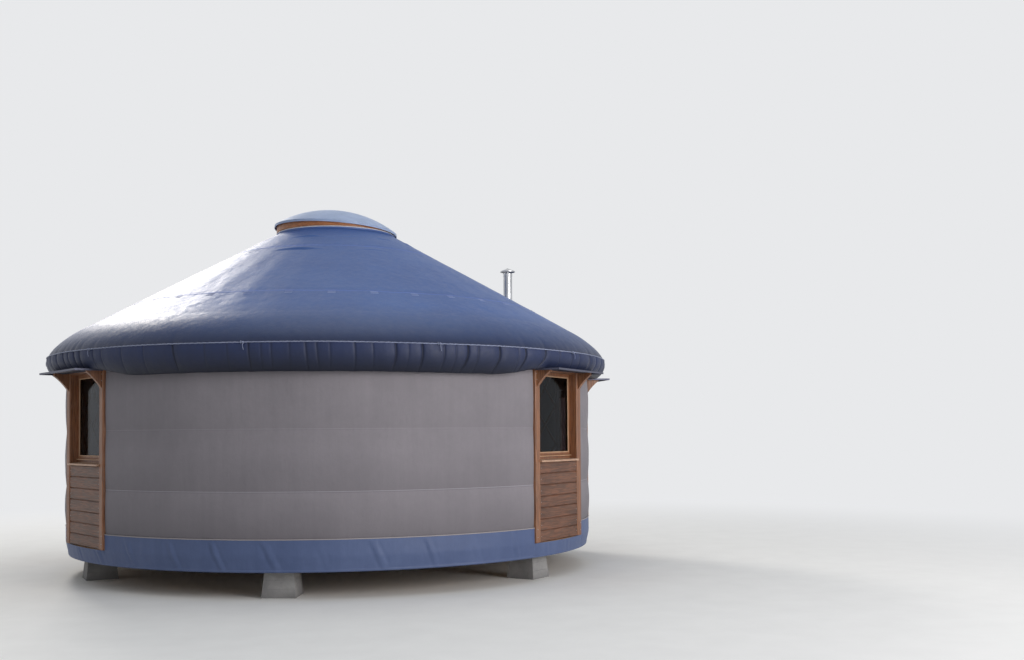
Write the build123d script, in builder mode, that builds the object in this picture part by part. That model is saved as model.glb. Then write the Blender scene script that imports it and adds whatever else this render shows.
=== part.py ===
from build123d import *
from math import atan2, cos, degrees, radians, sin, sqrt, tan
import os

os.makedirs("parts", exist_ok=True)

# A round insulated yurt on a low timber platform with concrete piers.
# Millimetres. Origin on the ground under the crown, +Z up, the door faces +X.
# A panel is a flat timber bay in the round wall: four windows and the door.

# Clearances
seat_gap = 0.3              # between curved faces that lie against each other
moving_gap = 6.0            # round the door leaf

# Platform
pier_height = 320.0
pier_base = 410.0
pier_top = 340.0
pier_circle_radius = 3330.0
pier_count = 6
first_pier_angle = 15.0
beam_width = 80.0
beam_depth = 155.0
hub_width = 300.0           # across the flats of the six-sided hub block
joist_width = 50.0
joist_radii = (1450.0, 2650.0)
rim_joist_side = 620.0      # from the middle line of a sixth of the floor
rim_thickness = 42.0
deck_thickness = 30.0
deck_inset = 12.0           # deck edge behind the wall's seams
rim_inset = 30.0            # rim board behind the deck edge

# Wall
wall_radius = 3760.0        # fullest outer face of the padded wall
wall_thickness = 120.0
wall_bulge = 22.0           # of each padded channel over its seams
wall_height = 2465.0        # floor to the underside of the wall plate
seam_heights = (1240.0, 1970.0, 2700.0)
plate_depth = 50.0          # along the radius
plate_height = 50.0
lattice_rows = 4
lattice_step = 9.4          # degrees, the width of one diamond, about
lath_width = 38.0
lath_thickness = 12.0

# Skirt band round the platform
skirt_top = 700.0
skirt_bottom = 316.0
skirt_thickness = 12.0
skirt_tuck = 38.0           # how far the hem is drawn in under the floor's edge
hem_height = 24.0
hem_thickness = 18.0

# Timber panels
door_angle = 0.0
side_window_angle = 42.0    # from the door, each way round
end_window_angle = 153.0
panel_width = 1330.0
post_proud = 20.0           # outer post corner beyond the fullest wall radius
post_face = 120.0
post_depth = 160.0
post_chamfer = 6.0
head_setback = 8.0

# Windows
board_count = 7
board_height = 147.5
board_thickness = 24.0
board_setback = 8.0
groove_width = 10.0
groove_depth = 7.0
sill_thickness = 35.0
sill_nose = 28.0            # beyond the post face
sill_fall = 12.0
window_top = 2720.0
frame_face = 42.0
frame_bottom_face = 78.0
frame_depth = 48.0
frame_setback = 2.0         # in front of the post's back face
glass_lap = 16.0            # hidden edge of a pane
pane_thickness = 24.0
bead_depth = 12.0
bar_rise = 32.0             # of the weather bar above the sill
bar_height = 30.0
bar_nose = 22.0
bar_edge = 12.0

# Door
jamb_face = 38.0
jamb_depth = 86.0
door_head_bottom = 2600.0
stop_face = 16.0
leaf_thickness = 44.0
stile_width = 112.0
bottom_rail = 190.0
door_glass_lap = 12.0
threshold_height = 22.0
threshold_nose = 22.0
hinge_radius = 8.0
hinge_pin_radius = 4.5
hinge_pin_room = 0.3
hinge_height = 45.0         # of each half of a hinge
hinge_set_out = 9.0         # hinge axis inside the leaf's inner face
hinge_leaf_sheet = 3.0
hinge_leaf_width = 34.0
hinge_levels = (260.0, 1020.0, 1780.0)
handle_height = 1020.0      # above the floor
handle_length = 125.0
handle_reach = 48.0
handle_bar = 20.0
handle_plate_width = 42.0
handle_plate_height = 220.0
handle_plate_sheet = 5.0

# Roof
roof_slope = 0.56           # rise over run
cover_thickness = 190.0
cover_gap = 0.6             # between the roof cover and the poles
pole_count = 36
first_pole_angle = 5.0
pole_width = 45.0
pole_depth = 90.0
pole_seat_depth = 15.0      # notch over the wall plate
tenon_width = 30.0
tenon_depth = 50.0
tenon_length = 45.0
crown_outer_radius = 860.0
crown_ring_width = 80.0
crown_ring_drop = 20.0      # of the ring below the poles
crown_upstand = 42.0        # of the ring above the roof cover
curb_width = 18.0
curb_height = 27.0

# Eave
eave_reach = 232.0          # rim of the roof cover beyond the fullest wall
rim_round_width = 392.0     # from the end of the straight slope to the rim
rope_thickness = 14.0
rope_sides = 6
roll_gap = 3.0              # roll's inner face outside the fullest wall
roll_depth = 330.0          # from its top to its underside
roll_belly = 12.0           # fullest part of the roll beyond the rim
roll_belly_drop = 98.0      # of the fullest part below the roll's top
roll_tuck = 107.0           # the roll's lower edge inside the rim
roll_hollow = 22.0          # the roll's underside is higher at the wall
roll_notch_depth = 228.0    # from its top to its underside over panels and short bays
roll_notch_side = 22.0      # room beside a panel
roll_rise = 900.0           # along a long bay, as the underside rises to a panel

# Eave brackets and drip plates of the panels
bracket_width = 58.0
bracket_reach = 185.0
bracket_height = 232.0
bracket_nose = 34.0
plate_sheet = 3.0
plate_reach = 345.0         # beyond the post face
plate_side = 16.0           # beyond the panel, each side
plate_lip = 24.0            # turned down along three edges

# Roof light
dome_overhang = 48.0        # its rim beyond the crown ring
dome_rise = 285.0
dome_sheet = 8.0
dome_skirt = 34.0
dome_tilt = 3.4             # the roof light stands a little open
dome_hinge_height = 20.0    # of the dome's lower rim over the curb
dome_hinge_width = 70.0
dome_hinge_turn = 15.0      # each side of the door's direction
stay_radius = 7.0
stay_foot = 46.0
stay_foot_sheet = 6.0

# Flue
flue_angle = 21.0
flue_circle_radius = 3100.0
flue_radius = 73.0
flue_sheet = 3.0
flue_inside = 320.0         # below the roof cover's outer face
flue_above = 950.0          # above it, to the cap
flue_cap_radius = 122.0
flue_cap_height = 95.0
flue_cap_fall = 52.0        # from the tip to the edge
flue_cap_rim = 16.0
flue_cap_band = 45.0
flue_cap_strap = 26.0
flashing_width = 400.0
flashing_corner = 30.0
flashing_sheet = 4.0
collar_radius = 104.0
collar_height = 240.0
collar_taper = 6.0

# Heights and radii that follow from the sizes above
floor_height = pier_height + beam_depth + deck_thickness
wall_top = floor_height + wall_height
plate_top = wall_top + plate_height
rope_radius = wall_radius + eave_reach
rim_round_start = rope_radius - rim_round_width
roll_bottom_height = wall_top - roll_depth
roll_bottom_radius = rope_radius - roll_tuck
roll_belly_radius = rope_radius + roll_belly
roll_notch_height = wall_top - roll_notch_depth
seam_radius = wall_radius - wall_bulge
wall_inner_radius = wall_radius - wall_thickness
plate_outer_radius = wall_inner_radius - seat_gap
plate_inner_radius = plate_outer_radius - plate_depth
plate_middle_radius = (plate_outer_radius + plate_inner_radius) / 2
lattice_radius = wall_inner_radius - seat_gap
deck_radius = seam_radius - deck_inset
rim_radius = deck_radius - rim_inset
slope_length = sqrt(1 + roof_slope ** 2)
pole_upright = pole_depth * slope_length
cover_upright = cover_thickness * slope_length
panel_half = panel_width / 2
panel_front = sqrt((wall_radius + post_proud) ** 2 - panel_half ** 2)
panel_back = panel_front - post_depth
panel_inside_half = panel_half - post_face
window_angles = (-side_window_angle, side_window_angle, -end_window_angle, end_window_angle)
panel_angles = (door_angle,) + window_angles
board_top = floor_height + board_count * board_height
sill_top = board_top + sill_thickness
frame_back = panel_back + frame_setback
leaf_outer = frame_back + leaf_thickness
leaf_half = panel_inside_half - jamb_face - moving_gap
leaf_bottom = floor_height + threshold_height + moving_gap
leaf_top = door_head_bottom - moving_gap
hinge_x = frame_back - hinge_set_out
hinge_y = -leaf_half
drip_top = roll_notch_height - seat_gap
crown_inner_radius = crown_outer_radius - crown_ring_width
dome_radius = crown_outer_radius + dome_overhang


def pole_bottom_at(radius):
    """Height of the underside of the roof poles at a radius."""
    seat = plate_top - pole_seat_depth
    return seat + (plate_middle_radius - radius) * roof_slope


def pole_top_at(radius):
    """Height of the upper face of the roof poles at a radius."""
    return pole_bottom_at(radius) + pole_upright


def cover_inside_at(radius):
    """Height of the inner face of the roof cover at a radius."""
    return pole_top_at(radius) + cover_gap


def cover_outside_at(radius):
    """Height of the outer face of the roof cover at a radius."""
    return cover_inside_at(radius) + cover_upright


def turns(angles):
    """Turns round the yurt's upright axis, for pieces that repeat."""
    return [Location((0, 0, 0), (0, 0, angle)) for angle in angles]


def radial_plane(angle, side=0.0):
    """An upright plane along the radius: local x is the radius, local y the height."""
    a = radians(angle)
    return Plane(
        origin=(-side * sin(a), side * cos(a), 0),
        x_dir=(cos(a), sin(a), 0),
        z_dir=(sin(a), -cos(a), 0),
    )


def facing_plane(angle, distance):
    """An upright plane square to the radius: local x runs round the wall, local y up."""
    a = radians(angle)
    return Plane(
        origin=(distance * cos(a), distance * sin(a), 0),
        x_dir=(-sin(a), cos(a), 0),
        z_dir=(cos(a), sin(a), 0),
    )


def facing_planes(angles, distance):
    """Facing planes of several panels."""
    return [facing_plane(angle, distance) for angle in angles]


def section(x_low, x_high, y_low, y_high, mode=Mode.ADD):
    """A rectangle in the sketch, given by its edges."""
    with Locations(((x_low + x_high) / 2, (y_low + y_high) / 2)):
        Rectangle(x_high - x_low, y_high - y_low, mode=mode)


def cut_panels(front, half_width, bottom, top):
    """Take the space of every panel out of a ring."""
    back = panel_back - post_face
    with Locations(*turns(panel_angles)):
        with Locations(((front + back) / 2, 0, (bottom + top) / 2)):
            Box(front - back, 2 * half_width, top - bottom, mode=Mode.SUBTRACT)


# Platform: piers, hub, radial beams, joists, rim board and deck
pier_angles = [first_pier_angle + 360 / pier_count * number for number in range(pier_count)]
sixth_angles = [angle + 180 / pier_count for angle in pier_angles]
half_sixth = radians(180 / pier_count)

with BuildPart() as concrete_piers:
    with BuildSketch():
        Rectangle(pier_base, pier_base)
        with PolarLocations(pier_circle_radius, pier_count, first_pier_angle):
            Rectangle(pier_base, pier_base)
    pier_taper = degrees(atan2((pier_base - pier_top) / 2, pier_height))
    extrude(amount=pier_height, taper=pier_taper)

with BuildPart() as platform_hub:
    with BuildSketch(Plane.XY.offset(pier_height)):
        RegularPolygon(hub_width / 2, 6, major_radius=False, rotation=sixth_angles[0])
    extrude(amount=beam_depth)

beam_start = hub_width / 2
beam_end = rim_radius - rim_thickness - seat_gap
with BuildPart() as platform_beams:
    with BuildSketch(Plane.XY.offset(pier_height)):
        with PolarLocations((beam_start + beam_end) / 2, pier_count, first_pier_angle):
            Rectangle(beam_end - beam_start, beam_width)
    extrude(amount=beam_depth)

beam_side = beam_width / 2 / cos(half_sixth)
with BuildPart() as platform_joists:
    with BuildSketch(Plane.XY.offset(pier_height)):
        for joist_radius in joist_radii:
            near = joist_radius - joist_width / 2
            far = joist_radius + joist_width / 2
            near_half = near * tan(half_sixth) - beam_side
            far_half = far * tan(half_sixth) - beam_side
            with Locations(*turns(sixth_angles)):
                Polygon(
                    (near, -near_half), (far, -far_half), (far, far_half), (near, near_half),
                    align=None,
                )
    extrude(amount=beam_depth)

rim_joist_start = joist_radii[-1] + joist_width / 2
with BuildPart() as rim_joists:
    with BuildSketch(Plane.XY.offset(pier_height)):
        with Locations(*turns(sixth_angles)):
            with Locations(
                ((rim_joist_start + rim_radius) / 2, rim_joist_side),
                ((rim_joist_start + rim_radius) / 2, -rim_joist_side),
            ):
                Rectangle(rim_radius - rim_joist_start, joist_width)
        Circle(beam_end, mode=Mode.INTERSECT)
    extrude(amount=beam_depth)

with BuildPart() as platform_rim:
    with BuildSketch(Plane.XY.offset(pier_height)):
        Circle(rim_radius)
        Circle(rim_radius - rim_thickness, mode=Mode.SUBTRACT)
    extrude(amount=beam_depth)

with BuildPart() as floor_deck:
    with BuildSketch(Plane.XY.offset(floor_height - deck_thickness)):
        Circle(deck_radius)
    extrude(amount=deck_thickness)

# Skirt: a canvas band, drawn in below the floor's edge and cut away under each panel
skirt_top_radius = seam_radius + seat_gap
skirt_hem_radius = skirt_top_radius - skirt_tuck
with BuildPart() as skirt:
    with BuildSketch(Plane.XZ):
        Polygon(
            (skirt_top_radius, skirt_top),
            (skirt_top_radius + skirt_thickness, skirt_top),
            (skirt_top_radius + skirt_thickness, floor_height),
            (skirt_hem_radius + skirt_thickness, skirt_bottom + hem_height),
            (skirt_hem_radius + hem_thickness, skirt_bottom),
            (skirt_hem_radius, skirt_bottom),
            (skirt_top_radius, floor_height),
            align=None,
        )
    revolve(axis=Axis.Z)
    skirt_reach = skirt_top_radius + 2 * hem_thickness
    cut_panels(skirt_reach, panel_half + seat_gap, floor_height - seat_gap, skirt_top + 1)


# Wall: padded canvas bays between the panels, with a lattice inside
def padded_bay(start_angle, end_angle):
    """A padded wall bay with three channels, trimmed square against the posts."""
    levels = (skirt_top,) + seam_heights
    with BuildPart() as bay:
        with BuildSketch(radial_plane(start_angle)):
            with BuildLine():
                Line((seam_radius, wall_top), (wall_inner_radius, wall_top))
                Line((wall_inner_radius, wall_top), (wall_inner_radius, floor_height))
                Line((wall_inner_radius, floor_height), (seam_radius, floor_height))
                Line((seam_radius, floor_height), (seam_radius, skirt_top))
                for low, high in zip(levels, levels[1:]):
                    ThreePointArc(
                        (seam_radius, low),
                        (wall_radius, (low + high) / 2),
                        (seam_radius, high),
                    )
                Line((seam_radius, seam_heights[-1]), (seam_radius, wall_top))
            make_face()
        revolve(axis=Axis.Z, revolution_arc=end_angle - start_angle)
        cut_panels(wall_radius + post_depth, panel_half, floor_height - 1, wall_top + 1)
    return bay


back_middle_angle = (side_window_angle + end_window_angle) / 2
wall_door_left = padded_bay(door_angle, side_window_angle)
wall_door_right = padded_bay(-side_window_angle, door_angle)
wall_back_right = padded_bay(side_window_angle, back_middle_angle)
wall_back_left = padded_bay(back_middle_angle, end_window_angle)
wall_front_right = padded_bay(-back_middle_angle, -side_window_angle)
wall_front_left = padded_bay(-end_window_angle, -back_middle_angle)
wall_end = padded_bay(end_window_angle, 360 - end_window_angle)

panel_turn = degrees(atan2(panel_half, sqrt(lattice_radius ** 2 - panel_half ** 2)))
lath_rise = wall_height / lattice_rows


def lattice_bay(start_angle, end_angle):
    """Crossed laths between two panels: one flat facet for each column of diamonds."""
    first = start_angle + panel_turn
    last = end_angle - panel_turn
    columns = max(1, round((last - first) / lattice_step))
    step = (last - first) / columns
    half_width = lattice_radius * sin(radians(step / 2))
    facet_radius = lattice_radius * cos(radians(step / 2))
    half_lath = lath_width / 2 * sqrt(1 + (lath_rise / (2 * half_width)) ** 2)
    with BuildPart() as bay:
        for layer, rise in ((0, lath_rise), (1, -lath_rise)):
            distance = facet_radius - layer * lath_thickness
            angles = [first + step * (column + 0.5) for column in range(columns)]
            with BuildSketch(*facing_planes(angles, distance)):
                for row in range(-1, lattice_rows + 1):
                    middle = floor_height + (row + 0.5) * lath_rise
                    Polygon(
                        (-half_width, middle - rise / 2 - half_lath),
                        (half_width, middle + rise / 2 - half_lath),
                        (half_width, middle + rise / 2 + half_lath),
                        (-half_width, middle - rise / 2 + half_lath),
                        align=None,
                    )
                section(-half_width, half_width, floor_height, wall_top, mode=Mode.INTERSECT)
            extrude(amount=-lath_thickness)
        cut_panels(wall_radius + post_depth, panel_half, floor_height - 1, wall_top + 1)
    return bay


lattice_door_left = lattice_bay(door_angle, side_window_angle)
lattice_door_right = lattice_bay(-side_window_angle, door_angle)
lattice_back = lattice_bay(side_window_angle, end_window_angle)
lattice_front = lattice_bay(-end_window_angle, -side_window_angle)
lattice_end = lattice_bay(end_window_angle, 360 - end_window_angle)

with BuildPart() as wall_plate:
    with BuildSketch(Plane.XY.offset(wall_top)):
        Circle(plate_outer_radius)
        Circle(plate_inner_radius, mode=Mode.SUBTRACT)
    extrude(amount=plate_height)

# Panels: posts, heads, brackets and drip plates of the windows and the door
with BuildPart() as panel_posts:
    with BuildSketch(Plane.XY.offset(floor_height)):
        post_x = (panel_front + panel_back) / 2
        post_y = panel_half - post_face / 2
        with Locations(*turns(panel_angles)):
            with Locations((post_x, post_y), (post_x, -post_y)):
                RectangleRounded(post_depth, post_face, post_chamfer)
    extrude(amount=wall_height)

with BuildPart() as panel_heads:
    head_front = panel_front - head_setback
    for angles, head_bottom in (
        (window_angles, window_top),
        ((door_angle,), door_head_bottom + jamb_face),
    ):
        with BuildSketch(*facing_planes(angles, frame_back)):
            section(-panel_inside_half, panel_inside_half, head_bottom, wall_top)
        extrude(amount=head_front - frame_back)

bracket_top = drip_top - plate_sheet
bracket_end = panel_front + bracket_reach
bracket_sides = (panel_half - post_face / 2, post_face / 2 - panel_half)
with BuildPart() as eave_brackets:
    with BuildSketch(*[radial_plane(a, side) for a in panel_angles for side in bracket_sides]):
        with BuildLine():
            Polyline(
                (bracket_end, bracket_top - bracket_nose),
                (bracket_end, bracket_top),
                (panel_front, bracket_top),
                (panel_front, bracket_top - bracket_height),
            )
            ThreePointArc(
                (panel_front, bracket_top - bracket_height),
                (panel_front + bracket_reach * 0.42, bracket_top - bracket_height * 0.56),
                (bracket_end, bracket_top - bracket_nose),
            )
        make_face()
    extrude(amount=bracket_width / 2, both=True)

plate_end = panel_front + plate_reach
plate_half = panel_half + plate_side
with BuildPart() as drip_plates:
    with BuildSketch(*[radial_plane(angle) for angle in panel_angles]):
        section(panel_front, plate_end, drip_top - plate_sheet, drip_top)
        section(plate_end - plate_sheet, plate_end, drip_top - plate_lip, drip_top)
    extrude(amount=plate_half, both=True)
    lip_sides = (plate_half - plate_sheet / 2, plate_sheet / 2 - plate_half)
    with BuildSketch(*[radial_plane(a, side) for a in panel_angles for side in lip_sides]):
        section(panel_front, plate_end, drip_top - plate_lip, drip_top)
    extrude(amount=plate_sheet / 2, both=True)

# Windows: insulated apron, weatherboards, sill, frame, pane and glazing bead
inside = panel_inside_half
with BuildPart() as window_aprons:
    with BuildSketch(*facing_planes(window_angles, frame_back)):
        section(-inside, inside, floor_height, board_top)
    extrude(amount=panel_front - board_setback - board_thickness - frame_back)

with BuildPart() as window_boards:
    with BuildSketch(*[radial_plane(angle) for angle in window_angles]):
        board_front = panel_front - board_setback
        section(board_front - board_thickness, board_front, floor_height, board_top)
        for joint in range(1, board_count):
            groove_height = floor_height + joint * board_height
            Polygon(
                (board_front - groove_depth, groove_height),
                (board_front, groove_height - groove_width / 2),
                (board_front, groove_height + groove_width / 2),
                align=None,
                mode=Mode.SUBTRACT,
            )
    extrude(amount=inside, both=True)

with BuildPart() as window_sills:
    with BuildSketch(*[radial_plane(angle) for angle in window_angles]):
        sill_front = panel_front + sill_nose
        Polygon(
            (frame_back, board_top),
            (sill_front, board_top),
            (sill_front, sill_top - sill_fall),
            (frame_back + frame_depth, sill_top),
            (frame_back, sill_top),
            align=None,
        )
    extrude(amount=inside, both=True)

pane_half = inside - frame_face
pane_bottom = sill_top + frame_bottom_face
pane_top = window_top - frame_face
sight_half = pane_half - glass_lap
sight_bottom = pane_bottom + glass_lap
sight_top = pane_top - glass_lap
pane_back = frame_back + frame_depth - bead_depth - pane_thickness
with BuildPart() as window_frames:
    with BuildSketch(*facing_planes(window_angles, frame_back)):
        section(-inside, inside, sill_top, window_top)
        section(-sight_half, sight_half, sight_bottom, sight_top, mode=Mode.SUBTRACT)
    extrude(amount=frame_depth)
    with BuildSketch(*facing_planes(window_angles, pane_back)):
        section(-pane_half, pane_half, pane_bottom, pane_top)
    extrude(amount=frame_depth, mode=Mode.SUBTRACT)
    with BuildSketch(*[radial_plane(angle) for angle in window_angles]):
        frame_front = frame_back + frame_depth
        bar_low = sill_top + bar_rise
        Polygon(
            (frame_front, bar_low),
            (frame_front + bar_nose, bar_low),
            (frame_front + bar_nose, bar_low + bar_edge),
            (frame_front, bar_low + bar_height),
            align=None,
        )
    extrude(amount=pane_half, both=True)

with BuildPart() as window_glass:
    with BuildSketch(*facing_planes(window_angles, pane_back)):
        section(-pane_half, pane_half, pane_bottom, pane_top)
    extrude(amount=pane_thickness)

with BuildPart() as window_beads:
    with BuildSketch(*facing_planes(window_angles, pane_back + pane_thickness)):
        section(-pane_half, pane_half, pane_bottom, pane_top)
        section(-sight_half, sight_half, sight_bottom, sight_top, mode=Mode.SUBTRACT)
    extrude(amount=bead_depth)

# Door: frame with a stop, threshold, glazed leaf, lift-off hinges and handle
jamb_inner = inside - jamb_face
with BuildPart() as door_frame:
    with BuildSketch(facing_plane(door_angle, frame_back)):
        section(-inside, inside, floor_height, door_head_bottom + jamb_face)
        section(-jamb_inner, jamb_inner, floor_height - 1, door_head_bottom, mode=Mode.SUBTRACT)
    extrude(amount=jamb_depth)
    with BuildSketch(facing_plane(door_angle, leaf_outer + moving_gap)):
        section(-jamb_inner, jamb_inner, floor_height, door_head_bottom)
        stop_inner = jamb_inner - stop_face
        stop_top = door_head_bottom - stop_face
        section(-stop_inner, stop_inner, floor_height - 1, stop_top, mode=Mode.SUBTRACT)
    extrude(amount=frame_back + jamb_depth - leaf_outer - moving_gap)

with BuildPart() as door_threshold:
    with BuildSketch(radial_plane(door_angle)):
        Polygon(
            (frame_back, floor_height),
            (panel_front + threshold_nose, floor_height),
            (panel_front + threshold_nose, floor_height + threshold_height / 2),
            (frame_back + jamb_depth, floor_height + threshold_height),
            (frame_back, floor_height + threshold_height),
            align=None,
        )
    extrude(amount=jamb_inner - stop_face, both=True)

door_sight_half = leaf_half - stile_width
door_sight_bottom = leaf_bottom + bottom_rail
door_sight_top = leaf_top - stile_width
door_pane_back = frame_back + (leaf_thickness - pane_thickness) / 2


def door_pane_section():
    """Outline of the door's pane, with the edge that its leaf hides."""
    section(
        -door_sight_half - door_glass_lap,
        door_sight_half + door_glass_lap,
        door_sight_bottom - door_glass_lap,
        door_sight_top + door_glass_lap,
    )


with BuildPart() as door_leaf:
    with BuildSketch(facing_plane(door_angle, frame_back)):
        section(-leaf_half, leaf_half, leaf_bottom, leaf_top)
        section(
            -door_sight_half, door_sight_half, door_sight_bottom, door_sight_top,
            mode=Mode.SUBTRACT,
        )
    extrude(amount=leaf_thickness)
    with BuildSketch(facing_plane(door_angle, door_pane_back)):
        door_pane_section()
    extrude(amount=pane_thickness, mode=Mode.SUBTRACT)

with BuildPart() as door_glass:
    with BuildSketch(facing_plane(door_angle, door_pane_back)):
        door_pane_section()
    extrude(amount=pane_thickness)

handle_y = leaf_half - stile_width / 2
handle_z = floor_height + handle_height
with BuildPart() as door_handle:
    for face, out in ((leaf_outer, 1), (frame_back, -1)):
        with BuildSketch(facing_plane(door_angle, face)):
            with Locations((handle_y, handle_z)):
                Rectangle(handle_plate_width, handle_plate_height)
        extrude(amount=out * handle_plate_sheet)
        with BuildSketch(facing_plane(door_angle, face)):
            with Locations((handle_y, handle_z)):
                Circle(handle_bar / 2)
        extrude(amount=out * handle_reach)
        lever_x = face + out * (handle_reach - handle_bar / 2)
        with BuildSketch(Plane.XZ.offset(-handle_y)):
            with Locations((lever_x, handle_z)):
                Circle(handle_bar / 2)
        extrude(amount=handle_length)

with BuildPart() as door_hinge_pins:
    for level in hinge_levels:
        low = floor_height + level
        with Locations((hinge_x, hinge_y, low)):
            Cylinder(hinge_radius, hinge_height, align=(Align.CENTER, Align.CENTER, Align.MIN))
            pin_height = 2 * hinge_height
            Cylinder(
                hinge_pin_radius, pin_height, align=(Align.CENTER, Align.CENTER, Align.MIN)
            )
        with BuildSketch(Plane.XY.offset(low)):
            section(hinge_x, frame_back, hinge_y - hinge_leaf_sheet, hinge_y)
            plate_low = hinge_y - hinge_leaf_width
            section(frame_back - hinge_leaf_sheet, frame_back, plate_low, hinge_y)
        extrude(amount=hinge_height)

with BuildPart() as door_hinge_sleeves:
    for level in hinge_levels:
        low = floor_height + level + hinge_height + 1
        with BuildSketch(Plane.XY.offset(low)):
            with Locations((hinge_x, hinge_y)):
                Circle(hinge_radius)
            plate_high = hinge_y + hinge_leaf_width
            section(hinge_x, frame_back, hinge_y, hinge_y + hinge_leaf_sheet)
            section(frame_back - hinge_leaf_sheet, frame_back, hinge_y, plate_high)
            with Locations((hinge_x, hinge_y)):
                Circle(hinge_pin_radius + hinge_pin_room, mode=Mode.SUBTRACT)
        extrude(amount=hinge_height)

# Roof frame: poles seated on the wall plate and tenoned into the crown ring
notch_start = plate_inner_radius - seat_gap
tenon_end = crown_outer_radius - tenon_length
tenon_middle = pole_bottom_at(crown_outer_radius) + pole_upright / 2
pole_angles = [first_pole_angle + 360 / pole_count * number for number in range(pole_count)]


def pole_blank():
    """One pole with its birdsmouth seat and its tenon, along +X."""
    with BuildPart() as pole:
        with BuildSketch(Plane.XZ):
            Polygon(
                (crown_outer_radius + seat_gap, pole_bottom_at(crown_outer_radius)),
                (notch_start, pole_bottom_at(notch_start)),
                (notch_start, plate_top),
                (plate_outer_radius, plate_top),
                (plate_outer_radius, pole_top_at(plate_outer_radius)),
                (crown_outer_radius + seat_gap, pole_top_at(crown_outer_radius)),
                align=None,
            )
        extrude(amount=pole_width / 2, both=True)
        with BuildSketch(Plane.XZ):
            rise = tenon_length * roof_slope
            Polygon(
                (crown_outer_radius + seat_gap, tenon_middle - tenon_depth / 2),
                (crown_outer_radius + seat_gap, tenon_middle + tenon_depth / 2),
                (tenon_end, tenon_middle + tenon_depth / 2 + rise),
                (tenon_end, tenon_middle - tenon_depth / 2 + rise),
                align=None,
            )
        extrude(amount=tenon_width / 2, both=True)
    return pole


pole = pole_blank()
with BuildPart() as roof_poles:
    with Locations(*turns(pole_angles)):
        add(pole.part)

crown_ring_bottom = pole_bottom_at(crown_outer_radius) - crown_ring_drop
curb_base = cover_outside_at(crown_outer_radius)
crown_ring_top = curb_base + crown_upstand
with BuildPart() as crown_ring:
    with BuildSketch(Plane.XY.offset(crown_ring_bottom)):
        Circle(crown_outer_radius)
        Circle(crown_inner_radius, mode=Mode.SUBTRACT)
    extrude(amount=crown_ring_top - crown_ring_bottom)
    with Locations(*turns(pole_angles)):
        add(pole.part, mode=Mode.SUBTRACT)

curb_inner = crown_outer_radius + seat_gap
with BuildPart() as crown_curb:
    with BuildSketch(Plane.XZ):
        Polygon(
            (curb_inner, curb_base),
            (curb_inner + curb_width, curb_base - curb_width * roof_slope),
            (curb_inner + curb_width, curb_base + curb_height - curb_width / 2),
            (curb_inner + curb_width / 2, curb_base + curb_height),
            (curb_inner, curb_base + curb_height),
            align=None,
        )
    revolve(axis=Axis.Z)

# Roof cover: a padded cone that thickens into the rim and rests on the wall
flue_x = flue_circle_radius * cos(radians(flue_angle))
flue_y = flue_circle_radius * sin(radians(flue_angle))
with BuildPart() as roof_cover:
    with BuildSketch(Plane.XZ):
        cover_start = crown_outer_radius + seat_gap
        with BuildLine():
            slope_line = Line(
                (cover_start, cover_outside_at(cover_start)),
                (rim_round_start, cover_outside_at(rim_round_start)),
            )
            rim_round = TangentArc(slope_line @ 1, (rope_radius, wall_top), tangent=slope_line % 1)
            Polyline(
                rim_round @ 1,
                (wall_inner_radius, wall_top),
                (wall_inner_radius, cover_inside_at(wall_inner_radius)),
                (cover_start, cover_inside_at(cover_start)),
                slope_line @ 0,
            )
        make_face()
    revolve(axis=Axis.Z)
    with BuildSketch(Plane.XY.offset(wall_top)):
        with Locations((flue_x, flue_y)):
            Circle(flue_radius + seat_gap)
    extrude(amount=crown_ring_top - wall_top, mode=Mode.SUBTRACT)

# Eave: a padded roll that hangs outside the wall, held by a rope round its top
roll_inner = wall_radius + roll_gap
roll_outer = rope_radius - rope_thickness / 2
with BuildPart() as eave_roll:
    with BuildSketch(Plane.XZ):
        with BuildLine():
            ThreePointArc(
                (roll_outer, wall_top),
                (roll_belly_radius, wall_top - roll_belly_drop),
                (roll_bottom_radius, roll_bottom_height),
            )
            ThreePointArc(
                (roll_bottom_radius, roll_bottom_height),
                ((roll_inner + roll_bottom_radius) / 2 - 8, roll_bottom_height - 6),
                (roll_inner, roll_bottom_height + roll_hollow),
            )
            Polyline(
                (roll_inner, roll_bottom_height + roll_hollow),
                (roll_inner, wall_top),
                (roll_outer, wall_top),
            )
        make_face()
    revolve(axis=Axis.Z)
    cut_panels(panel_front + seat_gap, panel_half + seat_gap, roll_bottom_height - 20, wall_top + 1)
    notch_half = panel_half + roll_notch_side
    notch_low = roll_bottom_height - 20
    notch_end = roll_belly_radius + 100
    with BuildSketch(*facing_planes(window_angles, panel_back)):
        Polygon(
            (-notch_half - roll_rise, notch_low),
            (-notch_half, roll_notch_height),
            (notch_half, roll_notch_height),
            (notch_half + roll_rise, notch_low),
            align=None,
        )
    extrude(amount=notch_end - panel_back, mode=Mode.SUBTRACT)
    with BuildSketch(Plane.XY.offset(notch_low)):
        for turn, half in ((0, side_window_angle), (180, 180 - end_window_angle)):
            notch_side = notch_end * tan(radians(half))
            with Locations(Location((0, 0, 0), (0, 0, turn))):
                Polygon((0, 0), (notch_end, -notch_side), (notch_end, notch_side), align=None)
    extrude(amount=roll_notch_height - notch_low, mode=Mode.SUBTRACT)

with BuildPart() as eave_rope:
    with BuildSketch(Plane.XZ):
        with Locations((rope_radius + rope_thickness / 2 + seat_gap, wall_top)):
            RegularPolygon(rope_thickness / 2, rope_sides)
    revolve(axis=Axis.Z)

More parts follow.
